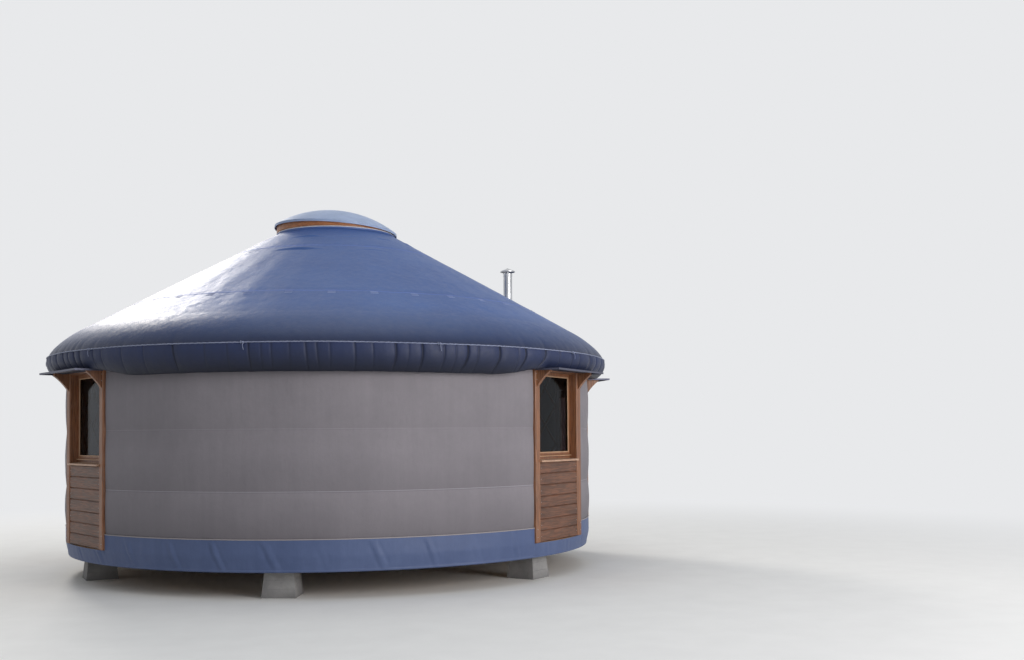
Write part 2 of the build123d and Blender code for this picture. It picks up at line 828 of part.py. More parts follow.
# Roof light: a domed cover hinged on the curb at the door side and held open by a stay
curb_outer = curb_inner + curb_width
curb_top = curb_base + curb_height
hinge_level = curb_top + dome_hinge_height
tilt = radians(dome_tilt)
dome_axis_x = dome_radius * (1 - cos(tilt))
dome_axis_z = hinge_level + dome_radius * sin(tilt)
dome_plane = Plane(
    origin=(dome_axis_x, 0, dome_axis_z),
    x_dir=(cos(tilt), 0, -sin(tilt)),
    z_dir=(0, -1, 0),
)
dome_axis = Axis(dome_plane.origin, (sin(tilt), 0, cos(tilt)))
dome_inner_radius = dome_radius - dome_sheet
dome_inner_rise = dome_rise - dome_sheet


def sphere_radius(radius, rise):
    """Radius of the sphere of a cap with this base radius and rise."""
    return (radius ** 2 + rise ** 2) / (2 * rise)


dome_inner_sphere = sphere_radius(dome_inner_radius, dome_inner_rise)
with BuildPart() as dome:
    with BuildSketch(dome_plane):
        with BuildLine():
            RadiusArc((0, dome_rise), (dome_radius, 0), sphere_radius(dome_radius, dome_rise))
            Polyline(
                (dome_radius, 0),
                (dome_radius, -dome_skirt),
                (dome_inner_radius, -dome_skirt),
                (dome_inner_radius, 0),
            )
            RadiusArc((dome_inner_radius, 0), (0, dome_inner_rise), -dome_inner_sphere)
            Line((0, dome_inner_rise), (0, dome_rise))
        make_face()
    revolve(axis=dome_axis)

with BuildPart() as dome_hinges:
    with BuildSketch(*[radial_plane(angle) for angle in (dome_hinge_turn, -dome_hinge_turn)]):
        section(curb_outer - curb_width / 4, dome_radius, curb_top - curb_height / 2, curb_top)
    extrude(amount=dome_hinge_width / 2, both=True)
    add(crown_curb.part, mode=Mode.SUBTRACT)
    add(dome.part, mode=Mode.SUBTRACT)

stay_circle = (crown_outer_radius + crown_inner_radius) / 2
with BuildPart() as stay_blank:
    with BuildSketch(Plane.XY.offset(crown_ring_top)):
        with Locations((-stay_circle, 0)):
            Circle(stay_radius)
    extrude(amount=2 * dome_rise)
    with BuildSketch(Plane.XY.offset(crown_ring_top)):
        with Locations((-stay_circle, 0)):
            Rectangle(stay_foot, stay_foot)
    extrude(amount=stay_foot_sheet)
    add(dome.part, mode=Mode.SUBTRACT)

# The stay ends against the underside of the dome
with BuildPart() as dome_stay:
    add(stay_blank.solids().sort_by(Axis.Z)[0])

# Flue: pipe with a rain cap, and a flashing on the slope of the roof
flue_surface = cover_outside_at(flue_circle_radius)
flue_bottom = flue_surface - flue_inside
flue_top = flue_surface + flue_above
with BuildPart() as flue_pipe:
    with BuildSketch(Plane.XY.offset(flue_bottom)):
        with Locations((flue_x, flue_y)):
            Circle(flue_radius)
            Circle(flue_radius - flue_sheet, mode=Mode.SUBTRACT)
    extrude(amount=flue_top - flue_bottom)

flue_axis = Axis((flue_x, flue_y, 0), (0, 0, 1))
cap_section_plane = Plane(origin=(flue_x, flue_y, flue_top), x_dir=(1, 0, 0), z_dir=(0, -1, 0))
cap_band_outer = flue_radius + seat_gap + flue_sheet
with BuildPart() as flue_cap:
    with BuildSketch(cap_section_plane):
        Polygon(
            (0, flue_cap_height - flue_sheet),
            (0, flue_cap_height),
            (flue_cap_radius, flue_cap_height - flue_cap_fall),
            (flue_cap_radius, flue_cap_height - flue_cap_fall - flue_cap_rim),
            (flue_cap_radius - flue_sheet, flue_cap_height - flue_cap_fall - flue_cap_rim),
            (flue_cap_radius - flue_sheet, flue_cap_height - flue_cap_fall - flue_sheet),
            align=None,
        )
        section(flue_radius + seat_gap, cap_band_outer, -flue_cap_band, 0)
    revolve(axis=flue_axis)
    with BuildSketch(Plane.XY.offset(flue_top - flue_cap_band)):
        with Locations((flue_x, flue_y)):
            with PolarLocations(cap_band_outer + flue_sheet / 2 - seat_gap, 3, flue_angle):
                Rectangle(flue_sheet, flue_cap_strap)
    strap_top = flue_cap_height - flue_cap_fall * cap_band_outer / flue_cap_radius
    extrude(amount=flue_cap_band + strap_top - flue_sheet / 2)

slope_plane = Plane(
    origin=(flue_x, flue_y, flue_surface),
    x_dir=(-flue_y, flue_x, 0),
    z_dir=(roof_slope * cos(radians(flue_angle)), roof_slope * sin(radians(flue_angle)), 1),
)
with BuildPart() as flue_flashing:
    with BuildSketch(slope_plane):
        RectangleRounded(flashing_width, flashing_width, flashing_corner)
    extrude(amount=flashing_sheet)
    with BuildSketch(Plane.XY.offset(flue_surface - collar_height / 2)):
        with Locations((flue_x, flue_y)):
            Circle(collar_radius)
    extrude(amount=collar_height, taper=collar_taper)
    split(bisect_by=slope_plane, keep=Keep.TOP)
    with BuildSketch(Plane.XY.offset(flue_surface - flashing_width)):
        with Locations((flue_x, flue_y)):
            Circle(flue_radius + seat_gap)
    extrude(amount=2 * flashing_width, mode=Mode.SUBTRACT)

pieces = {
    "concrete_piers": concrete_piers,
    "platform_hub": platform_hub,
    "platform_beams": platform_beams,
    "platform_joists": platform_joists,
    "rim_joists": rim_joists,
    "platform_rim": platform_rim,
    "floor_deck": floor_deck,
    "skirt": skirt,
    "wall_door_left": wall_door_left,
    "wall_door_right": wall_door_right,
    "wall_back_right": wall_back_right,
    "wall_back_left": wall_back_left,
    "wall_front_right": wall_front_right,
    "wall_front_left": wall_front_left,
    "wall_end": wall_end,
    "lattice_door_left": lattice_door_left,
    "lattice_door_right": lattice_door_right,
    "lattice_back": lattice_back,
    "lattice_front": lattice_front,
    "lattice_end": lattice_end,
    "wall_plate": wall_plate,
    "panel_posts": panel_posts,
    "panel_heads": panel_heads,
    "eave_brackets": eave_brackets,
    "drip_plates": drip_plates,
    "window_aprons": window_aprons,
    "window_boards": window_boards,
    "window_sills": window_sills,
    "window_frames": window_frames,
    "window_glass": window_glass,
    "window_beads": window_beads,
    "door_frame": door_frame,
    "door_threshold": door_threshold,
    "door_leaf": door_leaf,
    "door_glass": door_glass,
    "door_handle": door_handle,
    "door_hinge_pins": door_hinge_pins,
    "door_hinge_sleeves": door_hinge_sleeves,
    "roof_poles": roof_poles,
    "crown_ring": crown_ring,
    "crown_curb": crown_curb,
    "roof_cover": roof_cover,
    "eave_roll": eave_roll,
    "eave_rope": eave_rope,
    "dome": dome,
    "dome_hinges": dome_hinges,
    "dome_stay": dome_stay,
    "flue_pipe": flue_pipe,
    "flue_cap": flue_cap,
    "flue_flashing": flue_flashing,
}
for name, piece in pieces.items():
    piece.part.label = name
    export_step(piece.part, f"parts/{name}.step")
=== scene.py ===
import math
import random

import bpy
from mathutils import Matrix, Vector, noise


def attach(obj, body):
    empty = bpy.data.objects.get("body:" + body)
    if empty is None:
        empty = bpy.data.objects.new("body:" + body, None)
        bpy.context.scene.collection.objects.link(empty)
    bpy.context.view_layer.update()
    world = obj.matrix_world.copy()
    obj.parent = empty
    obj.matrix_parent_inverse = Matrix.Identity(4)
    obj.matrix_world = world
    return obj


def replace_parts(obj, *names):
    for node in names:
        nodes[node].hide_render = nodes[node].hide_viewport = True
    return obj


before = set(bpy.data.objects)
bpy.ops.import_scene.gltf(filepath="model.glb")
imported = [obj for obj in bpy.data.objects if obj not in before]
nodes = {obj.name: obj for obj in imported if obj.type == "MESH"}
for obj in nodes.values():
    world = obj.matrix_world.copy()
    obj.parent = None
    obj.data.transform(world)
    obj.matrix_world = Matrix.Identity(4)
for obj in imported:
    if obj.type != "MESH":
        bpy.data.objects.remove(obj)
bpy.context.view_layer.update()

scene = bpy.context.scene
scene.view_settings.view_transform = "Standard"

# The CAD part's own sizes, in metres and degrees
FLOOR = 0.505
WALL_TOP = 2.970
SEAM_RADIUS = 3.738
WALL_BULGE = 0.022
WALL_INNER_RADIUS = 3.640
WALL_SEAMS = (0.700, 1.240, 1.970, 2.700)
PANEL_ANGLES = (0.0, -42.0, 42.0, -153.0, 153.0)
WINDOW_ANGLES = PANEL_ANGLES[1:]
SIDE_WINDOW, END_WINDOW = 42.0, 153.0
PANEL_FRONT = 3.72104
PANEL_HALF = 0.665
POST_FACE = 0.120
POST_DEPTH = 0.160
INSIDE_HALF = PANEL_HALF - POST_FACE
BOARD_FRONT = PANEL_FRONT - 0.008
BOARD_COUNT = 7
BOARD_HEIGHT = 0.1475
SLOPE = 0.56
ROOF_EDGE_HEIGHT = 3.3265       # outer roof face at the wall plate's radius
ROOF_EDGE_RADIUS = 3.6147
COVER_UPRIGHT = 0.2178
CROWN_RADIUS = 0.860
CURB_TOP = 4.8961
CURB_EDGING = 4.881             # the white edging's lower side
DOME_HEIGHT = 4.970             # the roof light's rim, in the middle
DOME_TILT = 3.4
DOME_SKIRT = 0.034
ROUND_START = 3.600             # radius where the roof's straight slope ends
ROPE_RADIUS = 3.992
ROLL_INNER = 3.763
ROLL_OUTER = 3.985
ROLL_BOTTOM = (3.885, 2.640)    # radius and height
ROLL_NOTCH = 2.742              # the roll's underside over the panels and the short bays
SKIRT_TOP = (3.7383, 0.700)
SKIRT_HEM = (3.7003, 0.316)
FLUE = (2.8941, 1.1109)

# Clearances between a piece here and the one beside it
GAP = 0.001
HAIR = 0.0005


# Small helpers
def lerp(a, b, t):
    return a + (b - a) * t


def smooth(low, high, value):
    """0 below low, 1 above high, and an even rise between them."""
    t = min(max((value - low) / (high - low), 0.0), 1.0)
    return t * t * (3 - 2 * t)


def bell(distance, width):
    """1 at no distance, falling to nothing a few widths away."""
    return math.exp(-(distance / width) ** 2)


def wrap(angle):
    """An angle in degrees, brought between -180 and 180."""
    return (angle + 180.0) % 360.0 - 180.0


def ripple(x, y, z, scale, seed=0.0):
    """Soft noise between -1 and 1 at a point."""
    return noise.noise(Vector((x * scale + seed, y * scale - seed, z * scale)))


def polar(radius, angle, height):
    a = math.radians(angle)
    return (radius * math.cos(a), radius * math.sin(a), height)


def panel_matrix(angle):
    """Local x points out of a panel, y runs along it and z is up."""
    return Matrix.Rotation(math.radians(angle), 4, "Z")


def panel_slack(radius):
    """Degrees from a panel's middle to just past its side, at a radius."""
    return math.degrees(math.asin((PANEL_HALF + GAP) / radius))


def turns(count):
    """Even turns of a full circle, in radians."""
    return [2 * math.pi * k / count for k in range(count)]


def srgb(red, green, blue):
    """A colour written as 0 to 255, in the renderer's own linear values."""
    return tuple(
        ((c / 255 + 0.055) / 1.055) ** 2.4 if c > 10 else c / 255 / 12.92
        for c in (red, green, blue)
    )


def darker(colour, factor):
    return tuple(c * factor for c in colour)


# Material building
THREADS = 230.0                 # threads of the cloth in a metre
THREAD_RUN = 0.06               # how slowly a thread changes along its length
CLOTH_RADIUS = 3.75             # where metres round the yurt are measured in cloth
WOOD_RADIUS = 3.7
GRAIN_ALONG = 0.9               # how fast wood changes along its grain and across it
GRAIN_ACROSS = 16.0
WEATHERED = srgb(150, 142, 132)
FORM_BOARD = 0.105              # height of the boards that the concrete was cast in


class Nodes:
    """A node tree that is put together step by step."""

    def __init__(self, tree):
        self.tree = tree

    def add(self, kind, inputs=None, **settings):
        node = self.tree.nodes.new(kind)
        for key, value in settings.items():
            setattr(node, key, value)
        for key, value in (inputs or {}).items():
            self.feed(node.inputs[key], value)
        return node

    def feed(self, socket, value):
        if isinstance(value, bpy.types.NodeSocket):
            self.tree.links.new(value, socket)
        elif isinstance(value, tuple) and socket.type == "RGBA":
            socket.default_value = (*value[:3], 1.0)
        else:
            socket.default_value = value

    def math(self, operation, *values):
        node = self.add("ShaderNodeMath", operation=operation)
        for socket, value in zip(node.inputs, values):
            self.feed(socket, value)
        return node.outputs[0]

    def plus(self, total, *others):
        for value in others:
            total = self.math("ADD", total, value)
        return total

    def times(self, first, second):
        return self.math("MULTIPLY", first, second)

    def distance(self, x, y):
        return self.math("SQRT", self.plus(self.times(x, x), self.times(y, y)))

    def seen(self):
        """1 for rays from the camera, off shiny surfaces and through glass."""
        rays = self.add("ShaderNodeLightPath").outputs
        direct = self.math("MAXIMUM", rays["Is Camera Ray"], rays["Is Glossy Ray"])
        return self.math("MAXIMUM", direct, rays["Is Transmission Ray"])


class Look(Nodes):
    """A surface's node material."""

    def __init__(self, name):
        self.material = bpy.data.materials.new(name)
        self.material.use_nodes = True
        super().__init__(self.material.node_tree)
        self.shader = self.tree.nodes["Principled BSDF"]
        self.coords = self.add("ShaderNodeTexCoord").outputs["Object"]
        self.normal = None

    def axes(self):
        """The x, y and z of a point."""
        return self.add("ShaderNodeSeparateXYZ", {0: self.coords}).outputs

    def joined(self, x, y, z):
        return self.add("ShaderNodeCombineXYZ", {0: x, 1: y, 2: z}).outputs[0]

    def round_coords(self, radius):
        """Metres round the axis, metres out from it, and height."""
        x, y, z = self.axes()
        turn = self.math("ARCTAN2", y, x)
        return self.times(turn, radius), self.distance(x, y), z

    def stretched(self, scale, source=None):
        """Coordinates, each scaled: the point's own unless others are given."""
        source = self.coords if source is None else source
        return self.add("ShaderNodeMapping", {"Vector": source, "Scale": scale}).outputs[0]

    def attribute(self, name):
        return self.add("ShaderNodeAttribute", attribute_name=name).outputs

    def cells(self, vector, scale):
        """Distance from the nearest of many scattered spots."""
        return self.add("ShaderNodeTexVoronoi", {"Vector": vector, "Scale": scale}).outputs["Distance"]

    def noise(self, vector, scale=1.0, detail=4.0, roughness=0.55, distortion=0.0):
        inputs = {
            "Vector": vector,
            "Scale": scale,
            "Detail": detail,
            "Roughness": roughness,
            "Distortion": distortion,
        }
        return self.add("ShaderNodeTexNoise", inputs).outputs["Fac"]

    def range(self, value, low, high, new_low=0.0, new_high=1.0):
        inputs = {0: value, 1: low, 2: high, 3: new_low, 4: new_high}
        return self.add("ShaderNodeMapRange", inputs, clamp=True).outputs[0]

    def mix(self, factor, first, second):
        node = self.add("ShaderNodeMix", data_type="RGBA")
        self.feed(node.inputs["Factor"], factor)
        self.feed(node.inputs["A"], first)
        self.feed(node.inputs["B"], second)
        return node.outputs["Result"]

    def bump(self, height, distance, strength=1.0):
        """Adds surface relief, in metres."""
        inputs = {"Height": height, "Distance": distance, "Strength": strength}
        if self.normal is not None:
            inputs["Normal"] = self.normal
        self.normal = self.add("ShaderNodeBump", inputs).outputs[0]
        self.feed(self.shader.inputs["Normal"], self.normal)

    def set(self, **values):
        """Values of the shader: words are joined by underscores."""
        for key, value in values.items():
            self.feed(self.shader.inputs[key.replace("_", " ")], value)


PAINTED_PAD_SHADE = srgb(60, 57, 62)    # painted shade low on each padded channel


def canvas(name, light, dark, roughness, streaks=0.35, seams=(), painted_low_shade=None, pad_shade_bands=()):
    """Coated cloth: a fine weave, soft stains, streaks that run down, painted shade in its folds and low
    down, and painted lines at given heights.
    """
    look = Look(name)
    around, out, up = look.round_coords(CLOTH_RADIUS)
    soft = look.noise(look.coords, 0.9, 5.0, 0.6)
    fine = look.noise(look.coords, 14.0, 4.0, 0.65)
    runs = look.noise(look.stretched((7.0, 7.0, 0.45)), 1.0, 4.0, 0.6)
    tone = look.plus(look.times(soft, 0.55), look.times(fine, 0.2), look.times(runs, streaks))
    colour = look.mix(look.range(tone, 0.30, 0.75 + streaks * 0.5), dark, light)
    # painted lines at given heights: on the wall, a painted shade in each seam and a painted highlight just
    # above it
    for level, width, shade, strength in seams:
        line = look.math("ABSOLUTE", look.math("SUBTRACT", up, level))
        near = look.range(line, width * 0.5, width, strength, 0.0)
        colour = look.mix(near, colour, shade)
    # painted shade towards the bottom of each padded channel
    for low, high, strength in pad_shade_bands:
        above = look.math("GREATER_THAN", up, low)
        dull = look.times(look.range(up, low, high, strength, 0.0), above)
        colour = look.mix(dull, colour, PAINTED_PAD_SHADE)
    down = look.plus(up, look.times(out, -0.8))
    threads = []
    for round_scale, down_scale in ((THREADS, THREADS * THREAD_RUN), (THREADS * THREAD_RUN, THREADS)):
        run = look.joined(look.times(around, round_scale), look.times(down, down_scale), 0.0)
        threads.append(look.noise(run, 1.0, 1.0, 0.5))
    cloth = look.times(look.plus(*threads), 0.5)
    colour = look.mix(look.range(cloth, 0.35, 0.65, 0.0, 0.16), colour, dark)
    # painted shade that darkens the cloth towards the bottom of a band of heights
    if painted_low_shade is not None:
        shade, low, high, strength = painted_low_shade
        colour = look.mix(look.range(up, low, high, strength, 0.0), colour, shade)
    # painted shade in creases, hollows and along taped seams, from each point's value
    grime_and_shade = look.times(look.attribute("grime_and_shade")["Fac"], 0.85)
    colour = look.mix(grime_and_shade, colour, darker(dark, 0.22))
    look.set(Base_Color=colour, Specular_IOR_Level=0.4)
    look.set(Roughness=look.range(fine, 0.3, 0.7, roughness - 0.05, roughness + 0.06))
    look.bump(cloth, 0.0012)
    look.bump(look.noise(look.coords, 5.0, 5.0, 0.6), 0.006)
    look.bump(look.noise(look.stretched((11.0, 11.0, 1.6)), 1.0, 3.0, 0.5), 0.004)
    return look.material


def timber(name, light, dark, grain="up", roughness=0.5, weather=0.25, knots=True):
    """Oiled or sawn wood. The grain runs up, round the yurt, outwards, or along its own lengths."""
    look = Look(name)
    around, out, up = look.round_coords(WOOD_RADIUS)
    if grain == "up":
        vector = look.stretched((GRAIN_ACROSS, GRAIN_ACROSS, GRAIN_ALONG))
    elif grain == "round":
        vector = look.joined(
            look.times(around, GRAIN_ALONG), look.times(out, GRAIN_ACROSS), look.times(up, GRAIN_ACROSS)
        )
    elif grain == "out":
        rise = look.plus(up, look.times(out, SLOPE))
        vector = look.joined(
            look.times(around, 14.0), look.times(out, GRAIN_ALONG), look.times(rise, GRAIN_ACROSS)
        )
    else:
        own = look.attribute("grain")["Vector"]
        vector = look.stretched((GRAIN_ALONG, GRAIN_ACROSS, GRAIN_ACROSS), own)
    rings = look.noise(vector, 1.0, 3.0, 0.5, 1.2)
    bands = look.math("SINE", look.times(rings, 34.0))
    fibre = look.noise(vector, 6.0, 4.0, 0.7)
    patch = look.noise(look.coords, 1.7, 3.0, 0.5)
    tone = look.plus(look.times(bands, 0.17), look.times(fibre, 0.5), look.times(patch, 0.45))
    colour = look.mix(look.range(tone, 0.2, 0.85), dark, light)
    if knots:
        spot = look.range(look.cells(vector, 0.42), 0.05, 0.15, 0.75, 0.0)
        colour = look.mix(spot, colour, darker(dark, 0.35))
    grey = look.range(look.noise(look.coords, 3.1, 5.0, 0.7), 0.45, 0.75, 0.0, weather)
    colour = look.mix(grey, colour, WEATHERED)
    look.set(Base_Color=colour, Roughness=look.range(fibre, 0.3, 0.7, roughness - 0.08, roughness + 0.1))
    look.bump(fibre, 0.0010)
    look.bump(bands, 0.0005)
    return look.material


def sheet_metal(name, colour, roughness, metallic=1.0, brushed=True):
    """Sheet metal with rolling marks, water stains and dull patches."""
    look = Look(name)
    marks = look.noise(look.stretched((90.0, 90.0, 2.0) if brushed else (4.0, 4.0, 30.0)), 1.0, 3.0, 0.6)
    stains = look.noise(look.coords, 6.0, 6.0, 0.65)
    dull = look.range(stains, 0.3, 0.7, roughness, roughness + 0.16)
    look.set(
        Base_Color=look.mix(look.range(stains, 0.35, 0.7), darker(colour, 0.72), colour),
        Roughness=look.plus(dull, look.times(marks, 0.08)),
        Metallic=metallic,
    )
    look.bump(marks, 0.0002)
    return look.material


def concrete(name, light, dark):
    """Cast concrete: mottling, pits, form-board lines and a damp foot."""
    look = Look(name)
    up = look.axes()[2]
    mottle = look.noise(look.coords, 3.0, 6.0, 0.65)
    sand = look.noise(look.coords, 90.0, 3.0, 0.7)
    pit = look.range(look.cells(look.coords, 55.0), 0.05, 0.16, 1.0, 0.0)
    colour = look.mix(look.range(mottle, 0.3, 0.7), dark, light)
    colour = look.mix(look.times(sand, 0.25), colour, dark)
    damp = look.range(up, 0.0, 0.11, 0.55, 0.0)
    colour = look.mix(damp, colour, darker(dark, 0.55))
    board = look.math("ABSOLUTE", look.math("SINE", look.times(up, math.pi / FORM_BOARD)))
    look.set(Base_Color=look.mix(look.times(pit, 0.5), colour, dark), Roughness=0.9)
    look.bump(sand, 0.0012)
    look.bump(pit, 0.002, 0.7)
    look.bump(look.range(board, 0.0, 0.08), 0.003)
    return look.material


def moulded(name, colour, roughness, transmission=0.0, grain=0.0004):
    """Moulded sheet or rubber with faint dust and scuffs."""
    look = Look(name)
    dust = look.noise(look.coords, 5.0, 6.0, 0.7)
    look.set(
        Base_Color=look.mix(look.range(dust, 0.4, 0.75), colour, darker(colour, 0.82)),
        Roughness=look.range(dust, 0.3, 0.75, roughness, roughness + 0.15),
        Transmission_Weight=transmission,
    )
    look.bump(look.noise(look.coords, 160.0, 3.0, 0.6), grain)
    return look.material


def curb_finish(name):
    """White edging over the roof cloth, which is dressed up the curb."""
    look = Look(name)
    dust = look.noise(look.coords, 9.0, 5.0, 0.7)
    edging = look.mix(look.range(dust, 0.4, 0.75), srgb(214, 216, 220), srgb(178, 180, 186))
    cloth = look.mix(look.range(dust, 0.3, 0.7), srgb(50, 74, 130), srgb(70, 98, 160))
    above = look.range(look.axes()[2], CURB_EDGING - HAIR, CURB_EDGING + HAIR)
    look.set(Base_Color=look.mix(above, cloth, edging), Roughness=0.5)
    look.bump(dust, 0.0006)
    return look.material


def pane(name):
    """Glazing that lets through part of the light, with faint dust."""
    look = Look(name)
    dust = look.noise(look.coords, 7.0, 6.0, 0.7)
    look.set(
        Base_Color=look.mix(look.range(dust, 0.4, 0.8), srgb(148, 156, 172), srgb(160, 166, 178)),
        Roughness=look.range(dust, 0.35, 0.8, 0.015, 0.07),
        Transmission_Weight=1.0,
        IOR=1.12,
    )
    return look.material


def fibre_rope(name, light, dark):
    """Twisted fibre: fine hairs across the strands and grime in the lay."""
    look = Look(name)
    hairs = look.noise(look.coords, 260.0, 3.0, 0.7)
    grime_and_shade = look.noise(look.coords, 3.0, 4.0, 0.6)
    colour = look.mix(look.range(hairs, 0.3, 0.7), dark, light)
    colour = look.mix(look.range(grime_and_shade, 0.5, 0.75, 0.0, 0.5), colour, dark)
    look.set(Base_Color=colour, Roughness=0.88, Sheen_Weight=0.25)
    look.bump(hairs, 0.0008)
    return look.material


# the roof's low band above the rope gets a painted shade
roof_cloth = canvas(
    "roof_cloth", srgb(61, 98, 159), srgb(44, 76, 134), 0.46,
    streaks=0.2, painted_low_shade=(srgb(10, 21, 52), 2.97, 3.50, 0.96),
)
# the eave roll is the roof's own cloth painted darker as shade, with more painted shade towards its lower
# edge
shaded_eave_cloth = canvas(
    "shaded_eave_cloth", srgb(36, 51, 94), srgb(22, 33, 64), 0.55, painted_low_shade=(srgb(18, 21, 34), 2.66, 2.92, 0.88)
)
# height, width, colour and strength of the lines at the wall's seams: a painted shade in each seam and a
# painted highlight just above it
WALL_PAINTED_SEAM_LINES = [
    line
    for level, strength in zip(WALL_SEAMS[1:], (0.34, 0.10, 0.34))
    for line in (
        (level, 0.005, srgb(96, 94, 104), strength),
        (level + 0.011, 0.004, srgb(190, 188, 198), strength),
    )
]
# lower and upper height of the painted shade on each channel, and its strength
WALL_PAD_SHADE_BANDS = ((0.700, 1.20, 0.38), (1.255, 1.72, 0.22), (1.985, 2.40, 0.09))
wall_cloth = canvas(
    "wall_cloth", srgb(147, 142, 148), srgb(120, 116, 122), 0.80,
    streaks=0.22, seams=WALL_PAINTED_SEAM_LINES, pad_shade_bands=WALL_PAD_SHADE_BANDS,
)
lining_cloth = canvas("lining_cloth", srgb(196, 188, 172), srgb(170, 160, 145), 0.85)
skirt_cloth = canvas("skirt_cloth", srgb(93, 108, 145), srgb(65, 80, 117), 0.55, streaks=0.3)
seam_tape = canvas("seam_tape", srgb(90, 118, 182), srgb(70, 95, 156), 0.55)
piping_cloth = canvas("piping_cloth", srgb(150, 162, 200), srgb(112, 124, 164), 0.55)
edge_cloth = canvas("edge_cloth", srgb(172, 166, 168), srgb(146, 140, 142), 0.7)
panel_wood = timber("panel_wood", srgb(153, 102, 68), srgb(102, 63, 40), "own", 0.45, 0.15)
board_wood = timber("board_wood", srgb(124, 79, 54), srgb(62, 38, 26), "own", 0.5, 0.05)
sill_wood = timber("sill_wood", srgb(204, 168, 142), srgb(156, 122, 100), "round", 0.5, 0.2)
bead_wood = timber("bead_wood", srgb(206, 170, 136), srgb(164, 124, 94), "own", 0.5, 0.1, knots=False)
bead_round = timber("bead_round", srgb(206, 170, 136), srgb(164, 124, 94), "up", 0.5, 0.1, knots=False)
upright_wood = timber("upright_wood", srgb(153, 102, 68), srgb(102, 63, 40), "up", 0.45, 0.15)
round_wood = timber("round_wood", srgb(143, 94, 64), srgb(94, 58, 38), "round", 0.45, 0.15)
crown_wood = timber("crown_wood", srgb(196, 126, 76), srgb(140, 82, 44), "round", 0.4, 0.05)
pole_wood = timber("pole_wood", srgb(196, 160, 116), srgb(150, 112, 72), "out", 0.5, 0.05)
plate_wood = timber("plate_wood", srgb(196, 160, 116), srgb(150, 112, 72), "round", 0.5, 0.05)
lath_wood = timber("lath_wood", srgb(190, 150, 106), srgb(140, 102, 64), "up", 0.5, 0.1)
sawn_wood = timber("sawn_wood", srgb(160, 132, 98), srgb(112, 88, 62), "round", 0.75, 0.4)
flat_wood = timber("flat_wood", srgb(176, 142, 104), srgb(128, 98, 68), "round", 0.6, 0.2)
steel = sheet_metal("steel", (0.60, 0.61, 0.63), 0.24)
fitting_steel = sheet_metal("fitting_steel", (0.56, 0.56, 0.57), 0.30, brushed=False)
drip_metal = sheet_metal("drip_metal", srgb(92, 94, 112), 0.36, metallic=0.6, brushed=False)
pier_concrete = concrete("pier_concrete", srgb(164, 163, 162), srgb(120, 119, 120))
curb_edging = curb_finish("curb_edging")
dome_plastic = moulded("dome_plastic", srgb(158, 176, 210), 0.42, transmission=0.12, grain=0.00005)
flashing_rubber = moulded("flashing_rubber", srgb(52, 54, 60), 0.6, grain=0.0008)
glazing = pane("glazing")
rope_fibre = fibre_rope("rope_fibre", srgb(150, 158, 186), srgb(92, 100, 128))


# Mesh building
def new_object(name, vertices, faces, material):
    mesh = bpy.data.meshes.new(name)
    mesh.from_pydata(vertices, [], faces)
    mesh.validate()
    mesh.update()
    mesh.materials.append(material)
    obj = bpy.data.objects.new(name, mesh)
    scene.collection.objects.link(obj)
    return obj


def keep_sharp(obj, angle):
    """Leaves edges that are sharper than an angle in degrees as they are."""
    obj.data.set_sharp_from_angle(angle=math.radians(angle))
    return obj


def add_crease_shade(obj, values):
    """Paints shade on cloth in its creases and hollows: one value from 0 to 1 for each point."""
    layer = obj.data.attributes.new("grime_and_shade", "FLOAT", "POINT")
    layer.data.foreach_set("value", [min(max(value, 0.0), 1.0) for value in values])


class Mesh:
    """Points and faces that are gathered up before they become one piece."""

    def __init__(self):
        self.vertices = []
        self.faces = []
        self.grain = []         # each point's place in its own length of wood

    def grid(self, rows, closed_rows=False, closed_columns=False, skip=None):
        """A net of quads over rows of points."""
        start = len(self.vertices)
        columns = len(rows[0])
        points = [tuple(p) for row in rows for p in row]
        for i in range(len(rows) if closed_rows else len(rows) - 1):
            for j in range(columns if closed_columns else columns - 1):
                a = i * columns + j
                b = i * columns + (j + 1) % columns
                c = (i + 1) % len(rows) * columns + (j + 1) % columns
                d = (i + 1) % len(rows) * columns + j
                if skip is None or not skip(points[a], points[c]):
                    self.faces.append((start + a, start + b, start + c, start + d))
        self.vertices += points

    def plank(self, matrix, length, width, depth, bevel, offset):
        """A bevelled length of wood. Local z runs along it, x is its depth and y its width."""
        half_w, half_d = width / 2, depth / 2
        corners = []
        for sign_x, sign_y in ((1, 1), (-1, 1), (-1, -1), (1, -1)):
            first = (sign_x * half_d, sign_y * (half_w - bevel))
            second = (sign_x * (half_d - bevel), sign_y * half_w)
            corners += [first, second] if sign_x * sign_y > 0 else [second, first]
        inner = length / 2 - bevel
        steps = [-length / 2, *(lerp(-inner, inner, i / 6) for i in range(7)), length / 2]
        rows = []
        for number, at in enumerate(steps):
            shrink = bevel if number in (0, len(steps) - 1) else 0.0
            row = []
            for x, y in corners:
                px = x - math.copysign(min(shrink, abs(x)), x)
                py = y - math.copysign(min(shrink, abs(y)), y)
                row.append(matrix @ Vector((px, py, at)))
                self.grain.append((at + offset, py + offset * 1.7, px - offset))
            rows.append(row)
        start = len(self.vertices)
        self.grid(rows, closed_columns=True)
        count = len(corners)
        last = start + (len(rows) - 1) * count
        self.faces.append(tuple(start + i for i in reversed(range(count))))
        self.faces.append(tuple(last + i for i in range(count)))

    def piece(self, name, material, slot):
        """A smooth new piece that rides on the yurt."""
        obj = new_object(name, self.vertices, self.faces, material)
        if self.grain:
            layer = obj.data.attributes.new("grain", "FLOAT_VECTOR", "POINT")
            for item, value in zip(layer.data, self.grain):
                item.vector = value
        obj.data.polygons.foreach_set("use_smooth", [True] * len(obj.data.polygons))
        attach(obj, "yurt")
        return obj


def facing(angle, out, side, up):
    """Where a plank stands on a panel: local x out, y along the panel, z up."""
    return panel_matrix(angle) @ Matrix.Translation((out, side, up))


